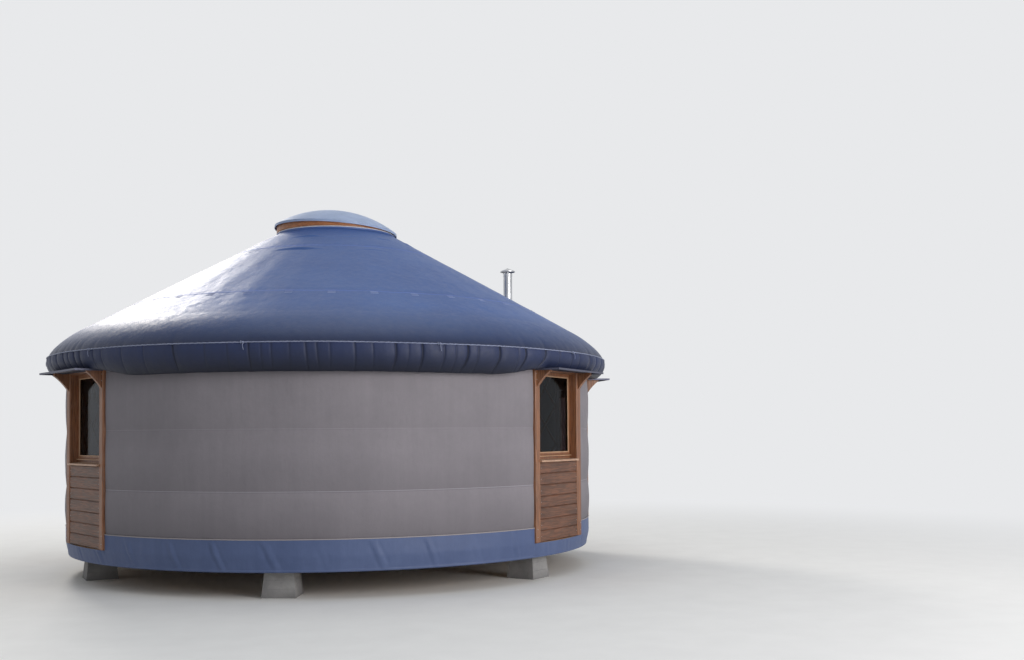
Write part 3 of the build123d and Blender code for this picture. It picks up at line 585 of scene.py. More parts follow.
LYING = Matrix.Rotation(math.radians(-90), 4, "X")      # turns a plank's length along the panel
FACE_UP = Matrix.Rotation(math.radians(-90), 4, "Y")


# Roof cover
def roof_height(radius):
    """Outer face of the straight part of the roof."""
    return ROOF_EDGE_HEIGHT + SLOPE * (ROOF_EDGE_RADIUS - radius)


def lining_height(radius):
    return roof_height(radius) - COVER_UPRIGHT


def rim_points(count):
    """The round rim of the roof, from the end of the slope down to the rope."""
    start = Vector((ROUND_START, roof_height(ROUND_START)))
    end = Vector((ROPE_RADIUS, WALL_TOP))
    inward = Vector((-SLOPE, -1.0)).normalized()
    across = end - start
    radius = across.length_squared / (2 * across.dot(inward))
    centre = start + inward * radius
    first = math.atan2(start.y - centre.y, start.x - centre.x)
    last = math.atan2(end.y - centre.y, end.x - centre.x)
    bends = [lerp(first, last, i / count) for i in range(1, count + 1)]
    return [(centre.x + radius * math.cos(t), centre.y + radius * math.sin(t)) for t in bends]


TIE_COUNT = 11
FIRST_TIE = -109.5
SEEN_TUCKS = (
    # angle, depth, lean of the lower end in degrees
    (-166.0, 0.8, 0.9), (-161.5, 0.6, 0.7), (-157.0, 0.9, 1.0), (-153.0, 0.9, 1.0), (-150.4, 0.6, 0.8),
    (-148.0, 1.0, 0.8), (-145.6, 0.7, 0.4), (-141.0, 0.5, 0.3), (-138.4, 0.3, 0.2), (-133.0, 0.25, 0.0),
    (-128.0, 0.3, 0.0), (-122.0, 0.75, 0.5), (-116.0, 0.25, 0.0), (-112.0, 0.3, 0.0), (-108.4, 0.6, 0.1),
    (-106.3, 0.3, 0.0), (-104.6, 0.4, 0.0), (-101.6, 0.3, -0.1), (-99.0, 0.5, 0.3), (-97.2, 0.4, 0.5),
    (-95.0, 0.3, 0.0), (-91.0, 0.5, 0.1), (-88.0, 0.35, 0.2), (-84.2, 0.8, -0.3), (-82.0, 0.3, -0.2),
    (-79.6, 0.85, -0.2), (-75.6, 0.5, -0.3), (-73.4, 0.35, -0.3), (-71.0, 1.0, -1.2), (-69.0, 0.45, -0.3),
    (-64.4, 1.0, -0.9), (-60.2, 0.35, 0.0), (-58.2, 1.1, -1.3), (-52.8, 1.0, -1.6), (-48.6, 0.4, 0.0),
    (-44.0, 0.35, 0.1), (-41.0, 0.4, 0.2), (-35.5, 1.0, -0.9), (-31.0, 0.8, -0.8), (-26.0, 0.6, -0.6),
)
TUCKS_SEEN_FROM, TUCKS_SEEN_TO = -166.0, -26.0
TUCK_WIDTH = 0.21               # of a tuck's sharp crease, in degrees
PUFF_WIDTH = 0.9
ROLL_REACH = 0.55               # metres that the tucks count as one unit of drop


def all_tucks():
    """Gathers of the eave cloth: those of the front, and like ones on the rest."""
    chance = random.Random(7)
    tucks = list(SEEN_TUCKS)
    angle = TUCKS_SEEN_TO + 4.0
    while angle < 357.0 + TUCKS_SEEN_FROM:
        tucks.append((wrap(angle), chance.uniform(0.3, 1.05), chance.uniform(-1.2, 1.0)))
        angle += chance.uniform(2.2, 7.5)
    return tucks


TUCKS = all_tucks()
TIES = [wrap(FIRST_TIE + 360.0 / TIE_COUNT * number) for number in range(TIE_COUNT)]


def tucks_near(angle, reach):
    """How far each nearby tuck is along the rope, in degrees, with its depth and lean."""
    for place, strength, lean in TUCKS:
        away = wrap(angle - place)
        if abs(away) < reach:
            yield away, strength, lean


def tuck_shift(near, drop):
    """Degrees by which the tucks carry the cloth sideways at a depth below the rope."""
    shift, weights = 0.0, 0.0
    for away, strength, lean in near:
        weight = bell(away, 1.5)
        shift += weight * (lean * drop ** 2 + 0.22 * strength * math.sin(math.pi * min(drop, 1.0)))
        weights += weight
    return shift / max(weights, 1.0)


def crease_fade(drop):
    """How deep creases are at a depth below the rope, and on the roof where it is below 0."""
    return smooth(-0.30, 0.12, drop) * (1.0 - 0.25 * smooth(0.7, 1.1, drop))


def crease(near):
    """Depth of the cloth's sharp creases, and of the soft puffs between them."""
    sharp = sum(strength * bell(away, TUCK_WIDTH) for away, strength, _ in near)
    puff = sum(strength * bell(away, PUFF_WIDTH) for away, strength, _ in near)
    return min(sharp, 1.2), min(puff, 1.2)


def tie_pull(angle):
    """1 where the rope is tied to the cloth, 0 between the ties."""
    return max(bell(wrap(angle - tie), 1.0) for tie in TIES)


def eave_angles():
    """Angles round the eave: coarse on plain cloth and fine at every crease."""
    angles = [0.5 * j for j in range(720)]
    for place, _, _ in TUCKS:
        angles += [place % 360.0 + 0.07 * k for k in range(-7, 8)]
    angles = sorted(a % 360.0 for a in angles)
    kept = [angles[0]]
    for angle in angles[1:]:
        if angle - kept[-1] > 0.03:
            kept.append(angle)
    return kept


ROOF_SEAMS = {1.50: 1.0, 2.95: 1.0, 3.52: 0.3}      # radius and strength
TAPED_SEAMS = (1.50, 2.95)
POLE_TURN, FIRST_POLE = 10.0, 5.0
ROOF_COLUMNS = 880
FINE_STEP, UPPER_STEP, LOWER_STEP = 0.012, 0.040, 0.054     # between the rows of the slope
RIM_ROWS = 16
RIM_TURN = 0.62                 # radians by which the rim's outward direction turns down
FLUE_HOLE = 0.10
LINING_RADII = (3.3, 2.9, 2.5, 2.1, 1.7, 1.3, CROWN_RADIUS + HAIR)
FOLD_RADII = (1.17, 1.61)
SEEN_FOLDS = (
    # angle, radius, half its length in degrees, width and depth in metres
    (-112.0, 1.61, 9.0, 0.026, 0.034), (-112.0, 1.17, 9.0, 0.022, 0.026), (-84.0, 1.17, 7.0, 0.024, 0.008),
    (-76.0, 1.61, 6.0, 0.026, 0.009), (-141.0, 1.61, 6.0, 0.026, 0.014), (-60.0, 1.17, 5.0, 0.024, 0.010),
)


def all_folds():
    """Short slack folds across the slope near the crown."""
    chance = random.Random(19)
    folds = list(SEEN_FOLDS)
    for number in range(11):
        angle = -35.0 + 20.0 * number + chance.uniform(-7.0, 7.0)
        at = chance.choice(FOLD_RADII) + chance.uniform(-0.02, 0.02)
        folds.append((wrap(angle), at, chance.uniform(4.0, 8.0), 0.026, chance.uniform(0.008, 0.022)))
    return folds


FOLDS = all_folds()


def roof_fold(radius, angle):
    """A fold stands up on its upper side and is hollow below."""
    relief = 0.0
    for place, at, half, width, depth in FOLDS:
        away = wrap(angle - place) / half
        if abs(away) < 2.2 and abs(radius - at) < 5 * width:
            across = (radius - at - 0.02 * away * away) / width
            relief -= depth * across * math.exp(-across * across) * bell(away, 1.0)
    return relief


def slope_rows():
    """Radius and height of each row of the straight slope, close together at seams and folds."""
    radii = []
    radius = CROWN_RADIUS + HAIR
    while radius < ROUND_START - 0.01:
        radii.append(radius)
        near_seam = min(abs(radius - seam) for seam in ROOF_SEAMS)
        near_fold = min(abs(radius - fold) for fold in FOLD_RADII)
        if near_seam < 0.035 or near_fold < 0.055:
            radius += FINE_STEP
        else:
            radius += UPPER_STEP if radius < 2.0 else LOWER_STEP
    return [(r, roof_height(r)) for r in (*radii, ROUND_START)]


def drop_at(radius):
    """A place's depth below the rope as the tucks count it: it is below 0 on the roof."""
    return (radius - ROPE_RADIUS) / ROLL_REACH


def roof_relief(radius, height, angle, drop):
    """How far the roof's cloth stands out from its plain form."""
    x, y, z = polar(radius, angle, height)
    fade_in = smooth(CROWN_RADIUS, CROWN_RADIUS + 0.12, radius)
    relief = 0.005 * ripple(x, y, z, 1.1, 3.0) + 0.0022 * ripple(x, y, z, 3.7, 9.0)
    over_poles = math.cos(math.radians((angle - FIRST_POLE) * 360.0 / POLE_TURN))
    relief += 0.0022 * over_poles * smooth(1.2, 2.6, radius) * (1 - smooth(3.2, 3.6, radius))
    for seam, strength in ROOF_SEAMS.items():
        near = bell(radius - seam, 0.016)
        pucker = math.sin(math.radians(angle) * seam * 62.0 + 4.0 * ripple(x, y, 0.0, 0.8))
        relief += strength * (-0.006 * near + 0.0010 * pucker * bell(radius - seam, 0.05))
    relief += roof_fold(radius, angle)
    lie = ripple(*polar(2.6, angle, radius * 7.0), 1.0, 21.0)
    relief += 0.0030 * lie * smooth(0.95, 1.2, radius) * (1 - smooth(3.3, 3.6, radius))
    if drop > -0.5:
        sharp, puff = crease(list(tucks_near(angle, 3.0)))
        relief -= (0.007 * sharp + 0.009 * puff) * crease_fade(drop)
    return relief * fade_in


def by_flue(first, second):
    """True for a face of the roof that the flue goes through."""
    middle = Vector(((first[0] + second[0]) / 2 - FLUE[0], (first[1] + second[1]) / 2 - FLUE[1]))
    return middle.length < FLUE_HOLE


def make_roof():
    """The padded roof cover: outer skin from the crown to the rope, underside and lining."""
    slope, rim = slope_rows(), rim_points(RIM_ROWS)
    angles = [360.0 * j / ROOF_COLUMNS for j in range(ROOF_COLUMNS)]
    slope_out = Vector((SLOPE, 1.0)).normalized()
    rows, grime_and_shade = [], []
    for number, (radius, height) in enumerate(slope + rim):
        on_rim = max(number - len(slope) + 1, 0) / len(rim)
        turn = math.atan2(SLOPE, 1.0) + on_rim * RIM_TURN
        out = Vector((math.sin(turn), math.cos(turn))) if on_rim > 0 else slope_out
        drop = drop_at(radius)
        fuller = 0.010 * math.sin(math.pi * on_rim ** 2.5)
        tape_edge_shade = max(bell(radius - seam - 0.019, 0.004) for seam in TAPED_SEAMS)
        row = []
        for angle in angles:
            relief = roof_relief(radius, height, angle, drop) + fuller
            if on_rim >= 1.0:
                relief = min(relief, 0.002)
            row.append(polar(radius + out.x * relief, angle, height + out.y * relief))
            near = list(tucks_near(angle, 0.6)) if drop > -0.3 else ()
            # painted shade deep in the tucks' creases and in a thin line just below each taped seam
            grime_and_shade.append(0.45 * crease(near)[0] * crease_fade(drop) + 0.5 * tape_edge_shade)
        rows.append(row)
    skin_rows = len(rows)
    inner_edge = WALL_INNER_RADIUS + 0.002
    plain = [(3.90, WALL_TOP), (inner_edge, WALL_TOP)]
    plain += [(r, lining_height(r)) for r in (inner_edge, *LINING_RADII)]
    for radius, height in plain:
        rows.append([polar(radius, angle, height) for angle in angles])
    cover = Mesh()
    cover.grid(rows, closed_rows=True, closed_columns=True, skip=by_flue)
    roof = cover.piece("roof_quilt", roof_cloth, slot="roof_canvas")
    roof.data.materials.append(lining_cloth)
    for polygon in roof.data.polygons:
        first, *_, last = sorted(v // ROOF_COLUMNS for v in polygon.vertices)
        if first > skin_rows or (first == 0 and last > skin_rows):
            polygon.material_index = 1
    keep_sharp(roof, 50)
    add_crease_shade(roof, grime_and_shade + [0.0] * (len(roof.data.vertices) - len(grime_and_shade)))
    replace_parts(roof, "roof_cover")


TAPE_COLUMNS = 720
TAPE_SECTION = (
    # metres down the slope from the seam, and lift over the skin
    (-0.017, -0.004), (-0.015, 0.0028), (0.0, 0.00196), (0.015, 0.0028), (0.017, -0.004),
)
BAR_SECTION = ((-0.005, -0.004), (-0.003, 0.0), (0.003, 0.0), (0.005, -0.004))
BAR_OFFSETS = (0.040, 0.078)    # of the two bars of each pair below the lower tape
BAR_HALF = 0.048


def make_roof_seams():
    """Tapes over two seams, and pairs of short stitched bars below the lower one."""
    for number, radius in enumerate(TAPED_SEAMS):
        rows = []
        for offset, rise in TAPE_SECTION:
            at = radius + offset
            row = []
            for j in range(TAPE_COLUMNS):
                angle = 360.0 * j / TAPE_COLUMNS
                height = roof_height(at) + roof_relief(at, roof_height(at), angle, drop_at(at))
                row.append(polar(at, angle, height + rise))
            rows.append(row)
        tape = Mesh()
        tape.grid(rows, closed_columns=True)
        tape.piece(f"roof_seam_band_{number + 1}", seam_tape, slot="roof_canvas")
    bars = Mesh()
    for number in range(round(360.0 / POLE_TURN)):
        middle = FIRST_POLE + POLE_TURN * number
        for offset in BAR_OFFSETS:
            radius = TAPED_SEAMS[1] + offset
            half = math.degrees(BAR_HALF / radius)
            rows = []
            for t in range(9):
                angle = middle - half + 2 * half * t / 8
                lift = 0.0045 + roof_relief(radius, roof_height(radius), angle, -1.0)
                rows.append([
                    polar(radius + side, angle, roof_height(radius + side) + lift + rise)
                    for side, rise in BAR_SECTION
                ])
            bars.grid(rows)
    bars.piece("roof_stitch_bars", piping_cloth, slot="roof_canvas")


def make_light_frame():
    """A sloped timber frame that fills the space between the curb and the tilted roof light."""
    profile = (
        # radius, share of the height, metres added
        (0.8612, 0.0, 0.0004), (0.8640, 0.0, 0.0004), (0.8640, 0.0, 0.0075), (0.8725, 0.0, 0.0075),
        (0.8733, 0.0, 0.0085), (0.8733, 1.0, -0.001), (0.8725, 1.0, 0.0), (0.8612, 1.0, 0.0),
    )
    rows = []
    for radius, share, added in profile:
        row = []
        for j in range(240):
            x, y, _ = polar(radius, 1.5 * j, 0.0)
            top = DOME_HEIGHT - DOME_SKIRT + 0.020 - math.tan(math.radians(DOME_TILT)) * x
            row.append((x, y, lerp(CURB_TOP, top, share) + added))
        rows.append(row)
    frame_mesh = Mesh()
    frame_mesh.grid(rows, closed_rows=True, closed_columns=True)
    keep_sharp(frame_mesh.piece("roof_light_frame", crown_wood, slot="roof_timber"), 30)


# Eave roll
ROLL_ROWS = 24                  # from the rope to the lower edge
UNDER_ROWS = 5                  # and on to the inner face
ROLL_LIMIT = 4.030


def roll_section(angle):
    """The roll's lower edge, its radius there and the roll's inner face, at an angle."""
    raised, inner = 0.0, ROLL_INNER
    if abs(wrap(angle)) < SIDE_WINDOW or abs(wrap(angle)) > END_WINDOW:
        raised = 1.0
    for place in PANEL_ANGLES:
        away = math.radians(wrap(angle - place))
        if abs(away) < math.radians(40):
            side = abs(math.sin(away)) * 3.9
            raised = max(raised, 1.0 - smooth(PANEL_HALF + 0.01, PANEL_HALF + 0.80, side))
            if abs(away) < math.radians(12):
                inner = max(ROLL_INNER, (PANEL_FRONT + 0.002) / math.cos(away))
    bottom = lerp(ROLL_BOTTOM[1], ROLL_NOTCH + GAP, raised)
    bottom_radius = lerp(ROLL_BOTTOM[0], 3.930, raised)
    return bottom, bottom_radius, inner


def roll_profile(t, bottom_radius):
    """The roll's full outline: t is 0 at the rope and 1 at the lower edge."""
    swell = math.sin(math.pi * min(0.24 + 0.70 * t, 1.0)) ** 0.7
    plain = lerp(ROLL_OUTER - 0.018, bottom_radius - 0.020, t ** 2.6)
    return plain + 0.042 * swell


def roll_column(angle):
    """Radius, angle, height and painted shade of each point round the roll's section."""
    near = list(tucks_near(angle, 3.0))
    sharp, puff = crease(near)
    tied = tie_pull(angle)
    points = []
    for i in range(ROLL_ROWS):
        t = i / (ROLL_ROWS - 1)
        turned = angle + tuck_shift(near, t)
        bottom, bottom_radius, inner = roll_section(turned)
        height = lerp(WALL_TOP - GAP, bottom, t)
        x, y, z = polar(4.0, turned, height)
        radius = roll_profile(t, bottom_radius)
        radius += 0.007 * ripple(x, y, z, 1.6, 5.0) + 0.003 * ripple(x, y, z, 7.0, 2.0)
        radius -= (0.018 * sharp + 0.016 * puff) * crease_fade(t) * (1.0 - 0.6 * t ** 5)
        radius -= 0.010 * tied * (1 - t)
        height += (0.006 * ripple(x, y, 0.0, 0.9, 1.0) - 0.005 * puff) * t ** 3
        # painted shade deep in each crease, less towards the lower edge
        grime_and_shade = sharp * crease_fade(t) * (1.0 - 0.4 * t)
        points.append((min(radius, ROLL_LIMIT), turned, height, grime_and_shade))
    last_radius, turned, last_height, _ = points[-1]
    for i in range(1, UNDER_ROWS + 1):
        t = i / UNDER_ROWS
        height = last_height - 0.010 * math.sin(math.pi * t)
        if bottom < ROLL_NOTCH - 0.04:
            height += 0.022 * t
        # painted shade on the roll's underside
        points.append((lerp(last_radius, inner, t), turned, height, 0.3))
    points.append((inner, turned, lerp(points[-1][2], WALL_TOP, 0.5), 0.0))
    points.append((inner, angle, WALL_TOP - GAP, 0.0))
    points.append((lerp(inner, points[0][0], 0.5), angle, WALL_TOP - GAP, 0.0))
    return points


def make_roll():
    rows = list(zip(*(roll_column(angle) for angle in eave_angles())))
    roll = Mesh()
    roll.grid([[polar(*point[:3]) for point in row] for row in rows], closed_rows=True, closed_columns=True)
    obj = keep_sharp(roll.piece("eave_roll_cloth", shaded_eave_cloth, slot="eave_canvas"), 75)
    add_crease_shade(obj, [point[3] for row in rows for point in row])
    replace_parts(obj, "eave_roll")


# Eave rope
ROPE_MIDDLE = 3.9993
ROPE_THICKNESS, STRAND_RELIEF = 0.0062, 0.0016
ROPE_STEPS = 3000
ROPE_TWISTS = 330
RING_SIZE, RING_WIRE = 0.013, 0.0045
KNOT_SIZE = 0.017
TAIL_LENGTH, TAIL_WIRE = 0.075, 0.0035


def make_rope():
    """Three twisted strands round the rim, with a loop and a knot at each tie."""
    rope = Mesh()
    rows = []
    for i in range(ROPE_STEPS):
        angle = 360.0 * i / ROPE_STEPS
        twist = 2 * math.pi * ROPE_TWISTS * i / ROPE_STEPS
        level = WALL_TOP + GAP + 0.004 * ripple(*polar(4.0, angle, 0.0), 0.9, 4.0)
        row = []
        for turn in turns(9):
            reach = ROPE_THICKNESS + STRAND_RELIEF * math.cos(3 * (turn - twist / 3))
            row.append(polar(ROPE_MIDDLE + reach * math.cos(turn), angle, level + reach * math.sin(turn)))
        rows.append(row)
    rope.grid(rows, closed_rows=True, closed_columns=True)
    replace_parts(rope.piece("eave_rope_strands", rope_fibre, slot="rope_fibre"), "eave_rope")
    ties = Mesh()
    for angle in TIES:
        add_ring(ties, angle, 4.001, WALL_TOP)
        add_knot(ties, angle + 0.35, 4.002, WALL_TOP - 0.004)
        add_tail(ties, angle + 0.35)
    ties.piece("rope_ties", rope_fibre, slot="rope_fibre")


def add_ring(mesh, angle, radius, height):
    """A small loop of cord round the rope, square to it."""
    rows = []
    for turn in turns(20):
        row = []
        for small in turns(8):
            reach = RING_SIZE + RING_WIRE * math.cos(small)
            side = angle + math.degrees(RING_WIRE * math.sin(small) / radius)
            row.append(polar(radius + reach * math.cos(turn), side, height + reach * math.sin(turn)))
        rows.append(row)
    mesh.grid(rows, closed_rows=True, closed_columns=True)


def add_knot(mesh, angle, radius, height):
    """An overhand knot, as a lumpy wound ball."""
    point = Vector(polar(radius, angle, height))
    rows = []
    for i in range(9):
        up = math.pi * (i + 0.5) / 9
        row = []
        for turn in turns(14):
            reach = KNOT_SIZE * (0.8 + 0.22 * math.cos(2 * turn + 3 * up))
            local = Vector((math.sin(up) * math.cos(turn), math.sin(up) * math.sin(turn), math.cos(up)))
            row.append(point + panel_matrix(angle) @ (local * reach))
        rows.append(row)
    mesh.grid(rows, closed_columns=True)


def add_tail(mesh, angle):
    """A short cord end that hangs from a knot against the roll."""
    rows = []
    for i in range(8):
        t = i / 7
        radius = 4.014 + 0.006 * math.sin(math.pi * t)
        row = []
        for turn in turns(6):
            side = math.degrees((TAIL_WIRE * math.sin(turn) + 0.012 * t * t) / radius)
            height = WALL_TOP - 0.014 - TAIL_LENGTH * t
            row.append(polar(radius + TAIL_WIRE * math.cos(turn), angle + side, height))
        rows.append(row)
    mesh.grid(rows, closed_columns=True)


# Wall
BAY_LIMIT = 3.768
BAY_TOP_RADIUS = 3.700
BAY_COLUMNS = 4.2               # for each degree
PUCKER_RADIUS, PUCKER_PITCH = 3.74, 68.0


def channel(height):
    """0 at a seam and 1 at the middle of a padded channel."""
    for low, high in zip(WALL_SEAMS, WALL_SEAMS[1:]):
        if low < height < high:
            return math.sin(math.pi * (height - low) / (high - low)) ** 0.75
    return 0.0


def wall_levels():
    levels = [FLOOR + GAP, 0.60, 0.69]
    for low, high in zip(WALL_SEAMS, WALL_SEAMS[1:]):
        levels += [low, low + 0.006, low + 0.016, low + 0.035]
        levels += [lerp(low + 0.035, high - 0.035, i / 14) for i in range(1, 14)]
        levels += [high - 0.035, high - 0.016, high - 0.006]
    return levels + [WALL_SEAMS[-1], 2.76, 2.86, WALL_TOP - GAP]


def wall_point(place, radius, height, first, last):
    """A point of a bay, whose ends lie flat against the posts."""
    slack = panel_slack(radius)
    return polar(radius, lerp(first + slack, last - slack, place), height)


def wall_relief(x, y, z, along):
    """Soft folds and creases of a bay, and gathers beside its seams."""
    near_seam = min(abs(z - seam) for seam in WALL_SEAMS)
    gather = 0.0006 + 0.0007 * ripple(x, y, z, 1.7, 12.0)
    pucker = gather * math.sin(along * PUCKER_RADIUS * PUCKER_PITCH + 3.0 * ripple(x, y, 0.0, 1.1))
    pucker *= bell(near_seam, 0.045) * (1.0 if near_seam > 0.004 else 0.3)
    if z <= 0.72:
        return pucker
    folds = 0.0045 * ripple(x * 3.0, y * 3.0, z * 0.5, 1.0, 2.0) + 0.003 * ripple(x, y, z, 1.3, 8.0)
    return folds + 0.0022 * ripple(x, y, z * 3.0, 4.0, 6.0) + pucker


def make_bay(name, first, last, replaced):
    """A padded bay: outer canvas with sewn channels, closed edges and a flat lining."""
    span = last - first
    columns = max(24, round(span * BAY_COLUMNS))
    places = [j / columns for j in range(columns + 1)]
    levels = wall_levels()
    rows = []
    for height in levels:
        row = []
        for place in places:
            point = wall_point(place, SEAM_RADIUS, height, first, last)
            edge = smooth(0.0, 2.0 / span, place) * smooth(0.0, 2.0 / span, 1 - place)
            swell = WALL_BULGE * channel(height) * (0.35 + 0.65 * edge)
            radius = SEAM_RADIUS + swell + wall_relief(*point, place * math.radians(span)) * edge
            row.append(wall_point(place, min(radius, BAY_LIMIT), height, first, last))
        rows.append(row)
    plain = [(BAY_TOP_RADIUS, WALL_TOP - GAP)]
    plain += [(WALL_INNER_RADIUS + 0.0015, height) for height in reversed(levels[::4] + levels[-1:])]
    for radius, height in plain:
        rows.append([wall_point(place, radius, height, first, last) for place in places])
    bay = Mesh()
    bay.grid(rows, closed_rows=True)
    count = len(places)
    bay.faces.append(tuple(r * count for r in range(len(rows))))
    bay.faces.append(tuple(r * count + columns for r in reversed(range(len(rows)))))
    obj = bay.piece(name, wall_cloth, slot="wall_canvas")
    obj.data.materials.append(lining_cloth)
    for polygon in obj.data.polygons:
        if min(v // count for v in polygon.vertices) > len(levels):
            polygon.material_index = 1
    keep_sharp(obj, 45)
    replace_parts(obj, *replaced)


BAYS = (
    # name, first and last angle, the CAD nodes that it replaces
    ("bay_door_left", 0.0, 42.0, ("wall_door_left",)),
    ("bay_door_right", -42.0, 0.0, ("wall_door_right",)),
    ("bay_back", 42.0, 153.0, ("wall_back_right", "wall_back_left")),
    ("bay_front", -153.0, -42.0, ("wall_front_right", "wall_front_left")),
    ("bay_end", 153.0, 207.0, ("wall_end",)),
)


# Skirt
SKIRT_RADIUS = 3.77             # where its length is measured
SKIRT_SIDE = 3.745              # where it meets the panels
SKIRT_STEPS = 1260
SKIRT_THICKNESS = 0.004
HEM_SHARE = 0.065               # of the band's height
CREASE_SPACING, CREASE_SLANT = 0.64, 0.42
PIPING_RADIUS, PIPING_WIRE = 3.7475, 0.0065


def under_panel(angle):
    """True where a panel cuts the skirt short."""
    for place in PANEL_ANGLES:
        away = math.radians(wrap(angle - place))
        if abs(away) < math.radians(20) and abs(math.sin(away)) * 3.75 < PANEL_HALF + HAIR:
            return True
    return False


def skirt_angles():
    """Even steps round the skirt, with a pair at each side of each panel."""
    angles = [360.0 * j / SKIRT_STEPS - 180.0 for j in range(SKIRT_STEPS)]
    slack = panel_slack(SKIRT_SIDE)
    for place in PANEL_ANGLES:
        for side in (-1, 1):
            edge = wrap(place + side * slack)
            angles = [a for a in angles if abs(wrap(a - edge)) > 0.15]
            angles += [edge - 0.02, edge + 0.02]
    return sorted(angles)


def skirt_radius(height):
    """Inner face of the skirt: upright over the wall, and drawn in below the floor."""
    below = max(FLOOR - height, 0.0) / (FLOOR - SKIRT_HEM[1])
    return lerp(SKIRT_TOP[0], SKIRT_HEM[0], below)


def skirt_relief(angle, height):
    """Slack folds of the band, which are free between its top and its hem."""
    x, y, _ = polar(SKIRT_RADIUS, angle, 0.0)
    t = (height - SKIRT_HEM[1]) / (SKIRT_TOP[1] - SKIRT_HEM[1])
    free = math.sin(math.pi * min(max(t, 0.0), 1.0)) ** 0.6
    relief = 0.005 * ripple(x * 2.2, y * 2.2, height * 1.2, 1.0, 4.0) * (0.35 + 0.65 * free)
    along = math.radians(angle) * SKIRT_RADIUS / CREASE_SPACING + 0.45 * ripple(x, y, 0.0, 0.8, 7.0)
    along += (height - FLOOR) * CREASE_SLANT / CREASE_SPACING
    away = (along - round(along)) * CREASE_SPACING
    strength = 0.25 + 0.75 * smooth(-0.25, 0.25, ripple(x, y, 0.0, 1.1, 15.0))
    fold = 0.010 * bell(away - 0.050, 0.042) - 0.009 * bell(away, 0.022) - 0.006 * bell(away - 0.115, 0.018)
    relief += fold * strength * free
    return relief + 0.002 * ripple(x, y, height, 9.0, 3.0)


def make_skirt():
    """The canvas band, with a flatter and thicker hem."""
    angles = skirt_angles()
    steps = [0.0, 0.03, 0.062, 0.068] + [lerp(0.10, 0.96, i / 14) for i in range(15)] + [0.985, 1.0]
    rows = []
    for t in steps:
        row = []
        share, extra = (0.4, 0.004) if t < HEM_SHARE else (1.0, 0.0)
        for angle in angles:
            top = FLOOR - 0.002 if under_panel(angle) else SKIRT_TOP[1]
            height = lerp(SKIRT_HEM[1] + GAP, top, t)
            relief = skirt_relief(angle, height) * share * smooth(1.0, 0.9, t)
            row.append(polar(skirt_radius(height) + max(0.0095 + relief + extra, 0.005), angle, height))
        rows.append(row)
    band = Mesh()
    band.grid(rows, closed_columns=True)
    obj = band.piece("skirt_band", skirt_cloth, slot="skirt_canvas")
    thicken = obj.modifiers.new("cloth", "SOLIDIFY")
    thicken.thickness = SKIRT_THICKNESS
    thicken.offset = -1.0
    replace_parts(obj, "skirt")
    return obj


def make_skirt_trim(band):
    """Piping along the skirt's upper edge, which shows as a fine pale line."""
    trim = Mesh()
    slack = panel_slack(SKIRT_SIDE)
    for _, first, last, _ in BAYS:
        columns = round((last - first) * 3)
        rows = []
        for j in range(columns + 1):
            angle = lerp(first + slack, last - slack, j / columns)
            row = []
            for turn in turns(8):
                height = SKIRT_TOP[1] + PIPING_WIRE * math.sin(turn)
                row.append(polar(PIPING_RADIUS + PIPING_WIRE * math.cos(turn), angle, height))
            rows.append(row)
        trim.grid(rows, closed_columns=True)
    obj = trim.piece("skirt_piping", edge_cloth, slot="skirt_canvas")
    height = SKIRT_TOP[1] - SKIRT_HEM[1]


# Panels
POST_BEVEL = 0.010
BOARD_DEPTH, BOARD_BEVEL = 0.024, 0.0112
TRIM_OUT = 3.6125               # of the trims round a pane, from the yurt's axis
TRIM_SECTION = (0.014, 0.010, 0.004)            # width, depth and bevel
TRIM_SIDE, TRIM_MIDDLE, TRIM_ENDS = 0.481, 2.164, (1.660, 2.669)
STRIP_PLACE = (3.6346, 0.0, 1.6106)             # on the weather bar
POST_SCREW_LEVELS = (2.60, 2.68, 0.58, 0.68)
DRIP_SCREW_SIDES = (-0.55, -0.2, 0.2, 0.55)
DRIP_SCREW_OUT, DRIP_TOP = 3.80, 2.7418
SCREW_SECTION = ((1.0, 0.0), (0.9, 0.35), (0.6, 0.62), (0.25, 0.7), (0.22, 0.45), (0.01, 0.42))
SCREW_LIFT = 0.0002


def board_middle(number):
    return FLOOR + BOARD_HEIGHT * (number + 0.5)


def make_panels():
    """Posts and weatherboards, each a separate length of wood."""
    chance = random.Random(3)
    posts, boards = Mesh(), Mesh()
    height = WALL_TOP - FLOOR
    post_out = PANEL_FRONT - POST_DEPTH / 2
    post_side = PANEL_HALF - POST_FACE / 2
    post_size = (height - HAIR, POST_FACE, POST_DEPTH - HAIR, POST_BEVEL)
    board_size = (2 * INSIDE_HALF - GAP, BOARD_HEIGHT - HAIR, BOARD_DEPTH, BOARD_BEVEL)
    for angle in PANEL_ANGLES:
        for side in (-1, 1):
            place = facing(angle, post_out, side * post_side, FLOOR + height / 2)
            posts.plank(place, *post_size, chance.uniform(0, 40))
    for angle in WINDOW_ANGLES:
        for number in range(BOARD_COUNT):
            place = facing(angle, BOARD_FRONT - BOARD_DEPTH / 2, 0.0, board_middle(number)) @ LYING
            boards.plank(place, *board_size, chance.uniform(0, 40))
    for mesh, name, material, slot, replaced in (
        (posts, "posts", panel_wood, "panel_timber", "panel_posts"),
        (boards, "weatherboards", board_wood, "board_timber", "window_boards"),
    ):
        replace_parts(keep_sharp(mesh.piece(name, material, slot), 30), replaced)


